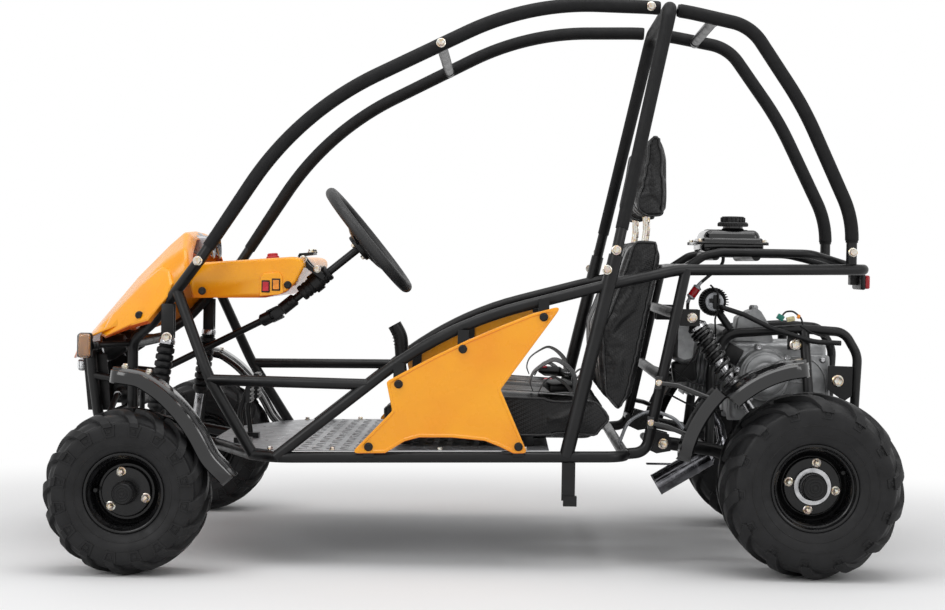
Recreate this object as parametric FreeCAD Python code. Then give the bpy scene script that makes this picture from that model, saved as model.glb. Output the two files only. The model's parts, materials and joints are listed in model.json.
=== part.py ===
# Two-seat off-road mini go-kart with a tube frame and a tall roll cage.
# Millimetres. The nose points to -X, the driver's (left) side is -Y, +Z is up.
# The origin is at the middle of the bounding box, on the ground.
import FreeCAD, Part
import math
import os

V = FreeCAD.Vector

# ---------------------------------------------------------------- sizes ----
wheelbase = 1491.0
rear_axle_x = 763.0
front_axle_x = rear_axle_x - wheelbase
front_track = 1040.0
rear_track = 820.0

front_tyre_radius = 177.5
front_tyre_width = 145.0
front_rim_radius = 86.0
rear_tyre_radius = 203.0
rear_tyre_width = 200.0
rear_rim_radius = 96.0
tyre_seat_gap = 0.2

frame_tube = 25.0
cage_tube = 32.0
rack_tube = 20.0
rail_y = 416.0            # centre of the bottom rails
rail_z = 243.0            # height of the bottom rails at the front
rail_rise = 14.0          # how much higher they are at the rear
rail_front_x = -421.0
rail_rear_x = 354.0
deck_z = 682.0            # top side rails behind the seats
roof_z = 1279.0
hoop_top_x = 449.0
hoop_top_y = 275.0

seat_y = 178.0            # middle of each seat
seat_width = 340.0
back_inset = 15.0         # each backrest is this much narrower on each side
pan_thickness = 2.0

kingpin_y = 412.0
kingpin_radius = 8.0
steering_arm = 105.0
rack_z = 355.0
wheel_rim_radius = 139.5  # steering wheel, to the middle of its rim
wheel_rim_tube = 27.0
column_angle = 39.5       # degrees above level
axle_radius = 15.0
axle_end_radius = 12.0
axle_end_length = 14.0
stub_radius = 10.0
running_gap = 0.05
pivot_bolt = 6.0          # radius of the swing arm's pivot bolts
seat_gap = 0.3            # where a piece rests on a round tube

front_hub_z = front_tyre_radius
rear_hub_z = rear_tyre_radius
tube_r = frame_tube / 2
cage_r = cage_tube / 2
Y = V(0, 1, 0)
parts = {}


# -------------------------------------------------------------- helpers ----
def bent_path(points):
    """A wire of straight runs and tangent arcs through (x, y, z[, radius])."""
    at = [V(*p[:3]) for p in points]
    edges = []
    start = at[0]
    for i in range(1, len(at) - 1):
        into = (at[i] - at[i - 1]).normalize()
        out = (at[i + 1] - at[i]).normalize()
        turn = into.getAngle(out)
        room = 0.48 * min((at[i] - at[i - 1]).Length, (at[i + 1] - at[i]).Length)
        radius = points[i][3] if len(points[i]) > 3 else 50.0
        reach = min(radius * math.tan(turn / 2), room)
        radius = reach / math.tan(turn / 2)
        first = at[i] - into * reach
        last = at[i] + out * reach
        inward = (out - into).normalize()
        middle = at[i] + inward * (radius / math.cos(turn / 2) - radius)
        if (first - start).Length > 0.01:
            edges.append(Part.LineSegment(start, first).toShape())
        edges.append(Part.Arc(first, middle, last).toShape())
        start = last
    edges.append(Part.LineSegment(start, at[-1]).toShape())
    return Part.Wire(edges)


def tube(points, diameter):
    """A round bar along a bent path."""
    path = bent_path(points)
    first = V(*points[0][:3])
    along = V(*points[1][:3]) - first
    ring = Part.Wire([Part.makeCircle(diameter / 2, first, along)])
    return path.makePipeShell([ring], True, False)


def rod(a, b, radius):
    """A straight round bar between two points."""
    a = V(*a)
    b = V(*b)
    return Part.makeCylinder(radius, (b - a).Length, a, b - a)


def box(x0, x1, y0, y1, z0, z1):
    return Part.makeBox(x1 - x0, y1 - y0, z1 - z0, V(x0, y0, z0))


def fuse(shapes):
    shapes = list(shapes)
    joined = shapes[0].multiFuse(shapes[1:]) if len(shapes) > 1 else shapes[0]
    return joined.removeSplitter()


def without_offcuts(shape):
    """The shape without the crumbs that coping a tube end leaves behind."""
    return Part.makeCompound([solid for solid in shape.Solids if solid.Volume > 300])


def mirrored(shape):
    return shape.mirror(V(0, 0, 0), Y)


def both(shape):
    return Part.makeCompound([shape, mirrored(shape)])


def outline_xz(points, y0, y1):
    """A flat outline in X and Z, made solid between two Y planes."""
    corners = [V(x, y0, z) for x, z in points]
    face = Part.Face(Part.makePolygon(corners + [corners[0]]))
    return face.extrude(V(0, y1 - y0, 0))


def turned(profile, centre):
    """Turn (radius, y) points about the Y line through the centre."""
    corners = [V(centre[0] + r, centre[1] + y, centre[2]) for r, y in profile]
    face = Part.Face(Part.makePolygon(corners + [corners[0]]))
    return face.revolve(V(*centre), Y, 360)


def soft_edges(shape, radius):
    """Round every edge of a simple block."""
    return shape.makeFillet(radius, shape.Edges)


def sheet_panel(rows, offset):
    """A closed skin over a grid of points, thickened by one offset vector."""
    def quad(a, b, c, d):
        return [Part.Face(Part.makePolygon([a, *pair, a])) for pair in ((b, c), (c, d))]

    top = [[V(*p) for p in row] for row in rows]
    under = [[p + V(*offset) for p in row] for row in top]
    faces = []
    last_row = len(top) - 1
    last_col = len(top[0]) - 1
    for i in range(last_row):
        for j in range(last_col):
            faces += quad(top[i][j], top[i][j + 1], top[i + 1][j + 1], top[i + 1][j])
            faces += quad(under[i][j], under[i + 1][j], under[i + 1][j + 1], under[i][j + 1])
    for j in range(last_col):
        faces += quad(top[0][j + 1], top[0][j], under[0][j], under[0][j + 1])
        faces += quad(top[last_row][j], top[last_row][j + 1],
                      under[last_row][j + 1], under[last_row][j])
    for i in range(last_row):
        faces += quad(top[i][0], top[i + 1][0], under[i + 1][0], under[i][0])
        faces += quad(top[i + 1][last_col], top[i][last_col],
                      under[i][last_col], under[i + 1][last_col])
    solid = Part.Solid(Part.makeShell(faces))
    if solid.Volume < 0:
        solid.reverse()
    return solid


# ---------------------------------------------------------------- frame ----
def rail_height(x):
    """Centre height of the bottom rails, level ahead of the front bend."""
    return rail_z + rail_rise * max(0.0, x - rail_front_x) / (rail_rear_x - rail_front_x)


front_cross_x = -600.0
front_cross_y = 130.0


def bottom_frame():
    """The loop of bottom rails, with the cross tubes that carry the floor."""
    left = [(front_cross_x, -front_cross_y, rail_z), (-480, -374, rail_z, 60),
            (rail_front_x, -rail_y, rail_z, 120),
            (rail_rear_x, -rail_y, rail_height(rail_rear_x), 45)]
    right = [(p[0], -p[1], *p[2:]) for p in reversed(left)]
    loop = tube(left + right, frame_tube)
    reach = front_cross_y + 8
    crosses = [rod((front_cross_x, -reach, rail_z), (front_cross_x, reach, rail_z), tube_r)]
    for x in (-200.0, 90.0):
        z = rail_height(x)
        crosses.append(rod((x, -rail_y, z), (x, rail_y, z), tube_r))
    return fuse([loop] + crosses)


foot = (-616.0, -336.0, 674.0)          # where the cage stands on the front
slant_top = (-669.0, -299.0, 604.0)
hoop_joint = (325.0, -400.0, 705.0)
upright_top = (489.0, -330.0, deck_z - 6)


# Side panel bolts: place, and how far the tab behind each reaches down and up to its rail.
panel_bolts = [(-153, 411, 12, 46), (-12, 491, 12, 42), (166, 565, 12, 40), (-217, 271, 26, 12),
               (115, 277, 26, 12)]


def side_frame():
    """Left side: upper rail, mid rail, front brace, hoop leg and rear post."""
    bottom = rail_z
    upper = tube([(rail_front_x - 4, -rail_y, bottom), (-55, -rail_y, 540, 1190),
                  (306, -403, 638, 300), (470, -335, deck_z - 8, 250),
                  (925, -172, deck_z, 45), (925, -130, deck_z)], frame_tube)
    slant = tube([slant_top, (-586, -350, 413, 300), (-480, -374, bottom)], frame_tube)
    mid = rod((-586, -350, 408), (-222, -rail_y, 408), tube_r)
    leg = rod((221, -rail_y, rail_height(221)), hoop_joint, cage_r)
    post_foot = (rail_rear_x, -352, rail_height(rail_rear_x))
    post = tube([upright_top, (403, -350, 262, 60), post_foot], frame_tube)
    pillar = tube([foot, (-735, -250, 530, 80), (-789, -200, 488, 45), (-787, -200, 333, 40),
                   (-787, -152, 276)], frame_tube)
    tabs = []
    for x, z, down, up in panel_bolts:
        tabs.append(box(x - 12, x + 12, -rail_y - tube_r, -rail_y - tube_r + 5, z - down, z + up))
    return fuse([upper, slant, mid, leg, post, pillar] + tabs)


def post_crosses():
    """Cross tubes behind the seats that carry the backrests and dampers."""
    low_x = 489 - (deck_z - 430) * 0.204
    high_x = 489 - (deck_z - 575) * 0.204
    low = rod((low_x, -338, 430), (low_x, 338, 430), tube_r)
    high = rod((high_x, -331, 575), (high_x, 331, 575), tube_r)
    ears = []
    for side in (-1, 1):
        for dy in (-27, 21):
            y = side * 230 + dy
            ears.append(box(high_x, 530, y, y + 6, 545, 583))
    return [low, high] + ears


def front_frame():
    """Lower runners, bumper and the cross tubes that hold the steering rack."""
    runner = tube([(front_cross_x, -front_cross_y, rail_z), (-872, -160, 287, 40), (-890, -160, 405, 80),
                   (-896, -160, 466, 40), (-896, 0, 466)], frame_tube)
    low_cross = rod((-867, -158, 300), (-867, 158, 300), tube_r)
    post_cross = rod((-787, -200, 340), (-787, 200, 340), tube_r)
    top_cross = rod((-789, -200, 480), (-789, 200, 480), tube_r)
    side_bars = []
    for side in (-1, 1):
        side_bars.append(rod((-892, side * 160, 402), (-789, side * 200, 390), tube_r * 0.7))
    return fuse([runner, mirrored(runner), low_cross, post_cross, top_cross] + side_bars)


def roof_points():
    """The left roof tube from the front foot to the rear foot."""
    return [foot, (-394, -325, 1019, 915), (124, -285, roof_z + 2, 1072),
            (hoop_top_x + 4, -236, roof_z + 2, 700), (641, -218, 1244, 110), (770, -200, 1059, 800),
            (892, -180, 803, 250), (892, -178, deck_z + tube_r + seat_gap)]


def front_cage():
    """The two front roof tubes, cut where they meet the hoop, and their tie."""
    whole = tube(roof_points(), cage_tube)
    end_x = hoop_top_x - cage_r - seat_gap
    front = whole.common(box(-900, end_x, -500, 0, 600, 1400))
    cross = rod((-76, -300, 1178), (-76, 300, 1178), tube_r)
    return fuse([front, mirrored(front), cross])


def rear_cage():
    """The two rear roof tubes, from the hoop down to the rear rack."""
    whole = tube(roof_points(), cage_tube)
    start_x = hoop_top_x + cage_r + seat_gap
    rear = whole.common(box(start_x, 1000, -500, 0, 600, 1400))
    cross = rod((556, -226, 1258), (556, 226, 1258), tube_r)
    return fuse([rear, mirrored(rear), cross])


def main_hoop():
    """The upper hoop behind the seats, standing on the two frame legs."""
    left = [hoop_joint, (hoop_top_x, -hoop_top_y, roof_z, 45)]
    right = [(hoop_top_x, hoop_top_y, roof_z, 45), (hoop_joint[0], -hoop_joint[1], hoop_joint[2])]
    return tube(left + right, cage_tube)


def rear_rack():
    """The rear cross bar, the raised bars and the bars under the fuel tank."""
    end = rod((925, -129.7, deck_z), (925, 129.7, deck_z), tube_r)
    front = rod((498, -311, deck_z - 6), (498, 311, deck_z - 6), tube_r)
    bar = tube([(498, -190, deck_z - 6), (545, -186, 708, 40), (588, -183, 717, 60), (795, -182, 717, 60),
                (838, -150, 706, 50), (925, -120, deck_z, 40)], rack_tube)
    supports = []
    for x in (572.0, 668.0):
        supports.append(rod((x, -184, 708), (x, 184, 708), rack_tube / 2))
    return fuse([end, front, bar, mirrored(bar)] + supports + post_crosses())


def pan_top(x):
    """Height of the floor sheet's upper face."""
    return rail_height(x) + tube_r + seat_gap + pan_thickness


def floor_pan():
    """The floor sheet that lies on the bottom rails."""
    half = rail_y - 6

    def at(x, y):
        return V(x, y, pan_top(x) - pan_thickness)
    rear_x = 215 - cage_tube
    front = [at(front_cross_x, -140), at(-486, -360), at(rail_front_x, -half), at(rail_front_x, half),
             at(-486, 360), at(front_cross_x, 140)]
    rear = [at(rail_front_x, -half), at(rear_x, -half), at(rear_x, half), at(rail_front_x, half)]
    sheets = []
    for corners in (front, rear):
        face = Part.Face(Part.makePolygon(corners + [corners[0]]))
        sheets.append(face.extrude(V(0, 0, pan_thickness)))
    return fuse(sheets)


def front_guard():
    """The black shield between the bumper uprights, bent back at both sides."""
    plate = outline_xz([(-904, 318), (-900.5, 318), (-915, 450), (-918.5, 450)], -141, 141)
    wing = outline_xz([(-904, 318), (-850, 318), (-862, 450), (-918.5, 450)], -141, -138)
    bar = box(-917, -900, -20, 20, 440, 467)
    return fuse([plate, wing, mirrored(wing), bar])


# ------------------------------------------------------------- bodywork ----
def nose_cowl():
    """The faceted yellow nose, an open skin 4 mm thick."""
    half = [
        [(-966, 0, 436), (-948, 110, 440), (-920, 190, 468), (-872, 256, 500)],
        [(-908, 0, 514), (-898, 120, 508), (-872, 208, 512), (-836, 264, 516)],
        [(-800, 0, 642), (-794, 128, 634), (-776, 218, 612), (-764, 270, 540)],
        [(-722, 0, 720), (-718, 135, 712), (-712, 228, 676), (-706, 280, 592)],
        [(-680, 0, 752), (-679, 138, 748), (-664, 234, 706), (-648, 286, 652)],
    ]
    rows = []
    for row in half:
        left = [(x, -y, z) for x, y, z in reversed(row)]
        rows.append(left + row[1:])
    return sheet_panel(rows, (3.0, 0, -4.0))


def dash_console():
    """The yellow dash, a hollow cover open underneath."""
    half = 286.0
    outer = [(-650, 649), (-628, 672), (-400, 690), (-380, 668), (-418, 600), (-464, 594), (-640, 590)]
    inner = [(-644, 645), (-625, 668), (-402, 686), (-386, 668), (-422, 605), (-460, 580), (-636, 580)]
    skin = outline_xz(outer, -half, half).cut(outline_xz(inner, -half + 4, half - 4))
    return skin


def gauge_bezel():
    """The grey instrument housing behind the top of the nose."""
    body = soft_edges(box(-673, -633, -90, 90, 690, 740), 8)
    lug = box(-690, -665, -30, 30, 700, 748)
    return fuse([body, lug])


def side_panels():
    """The yellow plastic side shields, bolted outside the rails."""
    inner = -(rail_y + tube_r + seat_gap)
    points = [(-180, 416), (-120, 450), (-70, 477), (0, 512), (75, 545), (140, 572), (203, 592), (208, 586),
              (73, 403), (135, 263), (104, 262), (72, 277), (40, 289), (-32, 295), (-105, 294), (-137, 285),
              (-180, 258), (-256, 256), (-172, 345), (-166, 352)]
    plate = outline_xz(points, inner - 4, inner)
    return both(plate)


def seat_bases():
    """Two seat cushions, each with a raised front edge."""
    half = seat_width / 2
    points = [(-206, 358), (-196, 305), (96, 286), (300, 288), (339.6, 332.4), (304.6, 379.4), (72, 392),
              (-150, 372)]
    block = outline_xz(points, -seat_y - half, -seat_y + half)
    feet = []
    for x in (-160, 120):
        for y in (-seat_y - half + 20, -seat_y + half - 50):
            feet.append(box(x, x + 30, y, y + 30, pan_top(x + 30) + seat_gap, 330))
    return both(fuse([block] + feet))


def seat_backs():
    """Two tall backrests leaning to the rear."""
    half = seat_width / 2 - back_inset
    points = [(305, 380), (340, 333), (368, 378), (393, 487), (423, 648), (434, 722), (427, 750),
              (376, 750), (362, 735), (325, 619), (294, 539), (297, 455)]
    block = outline_xz(points, -seat_y - half, -seat_y + half)
    return both(block)


def headrests():
    """Two headrests on a zinc-plated bracket above each backrest."""
    points = [(396, 784), (374, 802), (372, 830), (388, 910), (396, 972), (408, 989), (428, 987),
              (444, 930), (446, 840), (443, 786)]
    pad = outline_xz(points, -seat_y - 122, -seat_y + 122)
    strap = box(404, 412, -seat_y - 45, -seat_y + 45, 750 + seat_gap, 790)
    return both(fuse([pad, strap]))


def front_fender():
    """A curved guard over the left front wheel, with its bracket."""
    y0 = -front_track / 2 - 62
    y1 = -front_track / 2 + 42
    profile = [(-762, 441), (-716, 436), (-686, 427), (-640, 396), (-598, 353), (-566, 308), (-540, 262),
               (-512, 232), (-496, 214)]
    rows = []
    for x, z in profile:
        drop = 10
        rows.append([(x, y0, z - drop), (x, y0 + 14, z), (x, y1 - 14, z), (x, y1, z - drop)])
    return sheet_panel(rows, (-2.2, 0, -2.6))


def rear_fenders():
    """Curved guards over the front of the rear wheels, with their stays."""
    radius = rear_tyre_radius + 72
    y0 = -rear_track / 2 - 86
    y1 = -rear_track / 2 + 92
    rows = []
    for step in range(9):
        angle = math.radians(93 + step * 9.6)
        r = radius + (10 if step == 0 else 0)
        x = rear_axle_x + r * math.cos(angle)
        z = rear_hub_z + r * math.sin(angle)
        xl = rear_axle_x + (r - 12) * math.cos(angle)
        zl = rear_hub_z + (r - 12) * math.sin(angle)
        rows.append([(xl, y0, zl), (x, y0 + 16, z), (x, y1 - 16, z), (xl, y1, zl)])
    guard = sheet_panel(rows, (2.4, 0, -2.4))
    stays = [tube([(430, -371, 420), (470, -372, 415, 30), (548, -380, 375)], 12),
             tube([(412, -365, 330), (450, -368, 322, 30), (512, -372, 300)], 12)]
    plates = [box(420, 436, -375, -363, 405, 435), box(404, 420, -372, -360, 316, 344)]
    return both(fuse([guard] + stays + plates))


# ------------------------------------------------------ lamps and plates ----
def headlights():
    """Two round lamps under the nose and the small glass below its tip."""
    tip = math.radians(14)
    direction = V(-math.cos(tip), 0, -math.sin(tip))
    back = V(-822, -104, 478)
    shell = Part.makeCone(20, 34, 40, back, direction)
    rim = Part.makeCylinder(34, 14, back + direction * 40, direction)
    stalk = rod(tuple(back + direction * 8), (-789, -104, 480), 9)
    lamp = fuse([shell, rim, stalk]).cut(rod((-789, -200, 480), (-789, 0, 480), tube_r + seat_gap))
    glass = soft_edges(box(-952, -917, -72, 72, 404, 436), 8)
    return Part.makeCompound([lamp, mirrored(lamp), glass])


def turn_signals():
    """Two small lamps on stalks beside the nose."""
    lens = soft_edges(box(-900, -868, -296, -262, 448, 506), 9)
    stalk = rod((-884, -270, 476), (-789, -200, 480), 7)
    lamp = fuse([lens, stalk])
    return both(lamp.cut(rod((-789, -260, 480), (-789, 0, 480), tube_r + seat_gap)))


def tail_light():
    """The red lamp under the rear cross bar."""
    body = soft_edges(box(938 + seat_gap, 962, -60, 60, 632, 672), 6)
    hanger = box(921, 938 + 6, -18, 18, deck_z - tube_r - seat_gap - 22, deck_z - tube_r - seat_gap)
    return fuse([body, hanger])


# --------------------------------------------------- front axle, steering ----
def front_control_arms():
    """The two lower front arms, each a flat triangle of tube."""
    outer = V(front_axle_x, -kingpin_y, 150)
    legs = [rod((-680, -146, 262), tuple(outer + V(0, 4, -2)), 11),
            rod((-776, -156, 271), tuple(outer + V(0, 4, -2)), 11)]
    cross = rod((-704, -285, 206), (-752, -285, 211), 9)
    shock_foot = box(-740, -716, -326, -296, 190, 222)
    end = Part.makeCylinder(15, 22, outer + V(0, 0, -12))
    arm = fuse(legs + [cross, shock_foot, end])
    arm = arm.cut(Part.makeCylinder(kingpin_radius + running_gap, 80, outer + V(0, 0, -40)))
    arm = arm.cut(Part.makeCylinder(18, 40, outer + V(0, 0, 10)))
    arm = arm.cut(Part.makeCylinder(18, 40, outer + V(0, 0, -52)))
    return both(arm)


def front_shocks():
    """The two front coil dampers, from the pillar to the lower arm."""
    top = V(-690, -296, 500)
    low = V(-728, -311, 223.8)
    along = (low - top).normalize()
    body = Part.makeCylinder(20, 150, top + along * 18, along)
    damper = Part.makeCylinder(11, (low - top).Length - 150 - 18, top + along * 168, along)
    eye = Part.makeCylinder(13, 22, top + V(0, -11, 0), Y)
    neck = Part.makeCylinder(8, 20, top, along)
    tab = box(-704, -676, -304, -288, 500, 580)
    return both(fuse([body, damper, eye, neck, tab]))


def knuckle():
    """Left front knuckle: kingpin post, stub axle and steering arm."""
    x = front_axle_x
    y = -kingpin_y
    pin = Part.makeCylinder(kingpin_radius, 62, V(x, y, 132))
    post = Part.makeCylinder(15, 55, V(x, y, 160.5))
    cap = Part.makeCylinder(13, 5, V(x, y, 132 - 0.5))
    stub = rod((x, y, front_hub_z), (x, -front_track / 2 - 44, front_hub_z), stub_radius)
    arm = tube([(x, y, 200), (x - 48, y + 4, 220, 30), (x - steering_arm, y + 4, 226)], 14)
    ball = Part.makeCylinder(10, 12, V(x - steering_arm, y + 4, 222))
    fender_post = tube([(x + 2, y - 4, 200), (x + 8, y - 12, 385, 40), (x + 12, y - 74, 429)], 12)
    return fuse([pin, post, cap, stub, arm, ball, fender_post])


def front_rim():
    """A dished steel rim with its hub, 6 inches across the bead."""
    r = front_rim_radius
    hub_bore = stub_radius + running_gap
    outer = [(r, -58), (r, -50), (r - 9, -42), (r - 9, 42), (r, 50), (r, 58), (r - 5, 58), (r - 14, 45),
             (r - 14, -14), (r - 26, -24), (24, -24), (24, 38), (hub_bore, 38), (hub_bore, -46), (25, -46),
             (29, -31), (r - 26, -31), (r - 14, -41), (r - 6, -58)]
    return turned(outer, (front_axle_x, -front_track / 2, front_hub_z))


def tyre(radius, width, rim_radius, centre):
    """A low-pressure off-road tyre, closed, seated on its rim."""
    r = rim_radius + tyre_seat_gap
    h = width / 2
    wall = radius - rim_radius
    half = [(r - 9, 0), (r - 9, 41.5), (r + 1, 50 + (h - 72.5) * 0.6), (r + 3, h - 9),
            (rim_radius + wall * 0.35, h - 1), (rim_radius + wall * 0.55, h),
            (rim_radius + wall * 0.8, h - 5), (radius - 5, h - 17), (radius, h - 32)]
    profile = half + [(a, -b) for a, b in reversed(half[1:])]
    return turned(profile, centre)


def steering_rack():
    """The sliding rack bar between the tie rods."""
    x = front_axle_x - steering_arm
    return rod((x, -150, rack_z), (x, 150, rack_z), 9)


def rack_housing():
    """The rack's housing, carried on the cross tube between the pillars."""
    x = front_axle_x - steering_arm
    body = box(x - 20, x + 22, -105, 105, rack_z - 22, rack_z + 22)
    tower = rod((x + 6, -88, rack_z + 8), (x + 42, -97, rack_z + 28), 17)
    pads = [box(x + 22, -787 - tube_r - seat_gap, y, y + 30, 328, 352) for y in (-85, 55)]
    whole = fuse([body, tower] + pads)
    whole = whole.cut(rod((x, -200, rack_z), (x, 200, rack_z), 9 + running_gap))
    joint = V(*column_joint)
    pinion = V(*pinion_end)
    return whole.cut(Part.makeCylinder(8 + seat_gap, 400, pinion, joint - pinion))


def tie_rod():
    """Left tie rod, from the rack's end to the knuckle's arm."""
    x = front_axle_x - steering_arm
    y = -kingpin_y + 4
    bar = rod((x, -157, rack_z), (x, y, 247), 7)
    eye = Part.makeCylinder(12, 18, V(x, y, 234 + seat_gap))
    return fuse([bar, eye])


wheel_centre = V(-241, -200, 731)
column = V(math.cos(math.radians(column_angle)), 0, math.sin(math.radians(column_angle)))
column_joint = tuple(wheel_centre - column * 275)
pinion_end = (-822, -92, rack_z + 16)


def steering_wheel():
    """The rim, three spokes and the padded middle."""
    ring = Part.makeTorus(wheel_rim_radius, wheel_rim_tube / 2, wheel_centre, column)
    hub = wheel_centre - column * 34
    boss = Part.makeCylinder(34, 26, hub, column)
    spokes = []
    across = column.cross(Y)
    for angle in (180, 300, 60):
        a = math.radians(angle)
        to = wheel_centre + (across * math.cos(a) + Y * math.sin(a)) * wheel_rim_radius
        spokes.append(Part.makeCylinder(8, (to - hub - column * 12).Length, hub + column * 12,
                                        to - hub - column * 12))
    return fuse([ring, boss] + spokes)


def upper_steering_shaft():
    """The shaft from the wheel's boss down to the universal joint."""
    start = wheel_centre - column * (34 + seat_gap)
    length = (start - V(*column_joint)).Length - 14
    return Part.makeCylinder(9, length, start, column * -1)


def column_bracket():
    """The bearing sleeve and the bent plate that ties it to the dash."""
    middle = wheel_centre - column * 162
    sleeve = Part.makeCylinder(17, 74, middle - column * 37, column)
    plate = outline_xz([(-402, 690.4), (-397, 696), (-374, 670), (-338, 646), (-344, 636), (-379, 666)],
                       -240, -160)
    ring = fuse([sleeve, plate])
    return ring.cut(Part.makeCylinder(9 + running_gap, 400, wheel_centre, column * -1))


def lower_steering_shaft():
    """The lower steering shaft, from the universal joint to the rack."""
    joint = V(*column_joint)
    end = V(*pinion_end)
    along = (joint - end).normalize()
    shaft = Part.makeCylinder(8, (joint - end).Length - 4, end, along)
    yoke = Part.makeCylinder(12, 34, joint - along * 24, along)
    return fuse([shaft, yoke])


# ---------------------------------------------------------- rear running ----
def rear_axle():
    """The live rear axle, with a thinner free end outside each hub."""
    hub = rear_track / 2 + 66
    reach = hub + axle_end_length
    bar = rod((rear_axle_x, -hub, rear_hub_z), (rear_axle_x, hub, rear_hub_z), axle_radius)
    ends = rod((rear_axle_x, -reach, rear_hub_z), (rear_axle_x, reach, rear_hub_z), axle_end_radius)
    return fuse([bar, ends])


def rear_rims():
    """Dished steel rims, 7 inches across the bead, with their hub sleeves."""
    r = rear_rim_radius
    bore = axle_radius + running_gap
    w = 84.0
    points = [(r, -w), (r, -w + 8), (r - 9, -w + 16), (r - 9, w - 16), (r, w - 8), (r, w), (r - 5, w),
              (r - 14, w - 14), (r - 14, -20), (r - 26, -32), (34, -32), (34, 40), (bore, 40), (bore, -66),
              (30, -66), (34, -40), (r - 26, -40), (r - 14, -w + 14), (r - 6, -w)]
    return both(turned(points, (rear_axle_x, -rear_track / 2, rear_hub_z)))


def on_axle(y0, y1, radius):
    """A disc round the rear axle's line."""
    return rod((rear_axle_x, y0, rear_hub_z), (rear_axle_x, y1, rear_hub_z), radius)


def sprocket():
    """The final-drive sprocket and its hub on the axle."""
    teeth = 37
    points = []
    for i in range(teeth * 4):
        a = 2 * math.pi * i / (teeth * 4)
        r = 88 if i % 4 in (0, 1) else 81
        points.append((rear_axle_x + r * math.cos(a), rear_hub_z + r * math.sin(a)))
    plate = outline_xz(points, 66, 72)
    return fuse([plate, on_axle(55, 95, 30)]).cut(on_axle(0, 120, axle_radius))


def brake_disc():
    """The brake disc and its hub on the axle."""
    return fuse([on_axle(-92, -88, 84), on_axle(-104, -70, 30)]).cut(on_axle(-120, 0, axle_radius))


def swing_arm():
    """The rear arm: side tubes, axle carriers, cross tubes and engine cradle."""
    side = tube([(444, -290, 279), (560, -262, 262, 120), (700, -250, 222, 120),
                 (rear_axle_x - 30, -250, rear_hub_z)], 30)
    pivot = rod((444, -312, 279), (444, -268, 279), 20)
    carrier = rod((rear_axle_x, -268, rear_hub_z), (rear_axle_x, -232, rear_hub_z), 42)
    shock_ear = box(674, 700, -266, -258, 232, 312)
    cradle = tube([(556, -262, 262), (566, -170, 440, 60), (600, -170, 526, 50), (780, -170, 540, 200),
                   (880, -170, 534, 40), (912, -170, 480, 60), (905, -170, 330, 80), (812, -232, 222, 60),
                   (rear_axle_x + 30, -246, rear_hub_z)], 22)
    strut = rod((785, -170, 538), (800, -236, 230), 12)
    plate = outline_xz([(842, 455), (899, 454), (898, 385), (880, 372), (841, 399)], -181, -177)
    half = fuse([side, pivot, carrier, shock_ear, cradle, strut, plate])
    cross_low = rod((540, -267, 265), (540, 267, 265), 13)
    cross_rear = rod((908, -170, 400), (908, 170, 400), 11)
    cross_top = rod((604, -170, 528), (604, 170, 528), 11)
    whole = fuse([half, mirrored(half), cross_low, cross_rear, cross_top])
    bore = axle_radius + running_gap
    whole = whole.cut(rod((rear_axle_x, -400, rear_hub_z), (rear_axle_x, 400, rear_hub_z), bore))
    return whole.cut(rod((444, -400, 279), (444, 400, 279), pivot_bolt + running_gap))


def pivot_brackets():
    """The plates under the rear posts that hold the swing arm's pivot."""
    plate = outline_xz([(402, 268), (420, 310), (458, 300), (462, 262), (430, 256)], -318.3, -312.3)
    inner = outline_xz([(402, 268), (420, 310), (458, 300), (462, 262), (430, 256)], -267.7, -261.7)
    web = rod((404, -352, 290), (404, -258, 290), 8)
    bolt = rod((444, -324, 279), (444, -256, 279), pivot_bolt)
    return both(fuse([plate, inner, web, bolt]))


def rear_shocks():
    """The two rear coil dampers."""
    top = V(512, -230, 564)
    low = V(687, -243, 300)
    along = (low - top).normalize()
    length = (low - top).Length
    spring = Part.makeCylinder(20, length - 110, top + along * 30, along)
    damper = Part.makeCylinder(12, 80, top + along * (length - 81), along)
    eyes = [Part.makeCylinder(12, 41.4, top + V(0, -20.7, 0), Y),
            Part.makeCylinder(12, 18, low + V(0, -11.7, 0), Y)]
    neck = Part.makeCylinder(9, 32, top, along)
    return both(fuse([spring, damper, neck] + eyes))


# ---------------------------------------------------------------- engine ----
engine_x = 698.0
engine_z = 429.0


def crankcase():
    """The engine's cases, one closed light alloy block."""
    body = soft_edges(box(620, 850, -112, 112, 318, 505), 18)
    rear_lug = box(846, 908 - 11 - seat_gap, -40, 40, 388, 412)
    top_lug = box(592, 650, -30, 30, 492, 528 - 11 - seat_gap)
    return fuse([body, rear_lug, top_lug])


def engine_covers():
    """The round cover on the left of the cases and the smaller one behind it."""
    disc = rod((engine_x, -150, engine_z), (engine_x, -112 - seat_gap, engine_z), 62)
    ring = rod((engine_x, -158, engine_z), (engine_x, -150, engine_z), 48)
    rear = soft_edges(box(786, 846, -148, -112 - seat_gap, 372, 478), 9)
    return Part.makeCompound([fuse([disc, ring]), rear])


def cylinder():
    """The finned cylinder and its head, lying towards the seats."""
    core = rod((616, 0, 420), (505, 0, 436), 44)
    fins = []
    for i in range(7):
        x = 608 - i * 15
        fins.append(box(x - 3, x + 3, -62, 62, 362, 486))
    return fuse([core] + fins)


def intake():
    """The dark intake box behind the left seat, the carburettor and its neck."""
    can = soft_edges(box(478, 528, -150, -85, 492, 556), 9)
    carb = rod((515, -118, 525), (574, -48, 514), 19)
    neck = rod((572, -48, 486 + seat_gap), (572, -48, 516), 14)
    return fuse([can, carb, neck])


def breather():
    """The finned round unit above the engine."""
    disc = rod((573, -176, 600), (573, -120, 600), 34)
    stem = rod((573, -150, 600), (612, -166, 536), 9)
    return fuse([disc, stem])


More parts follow.
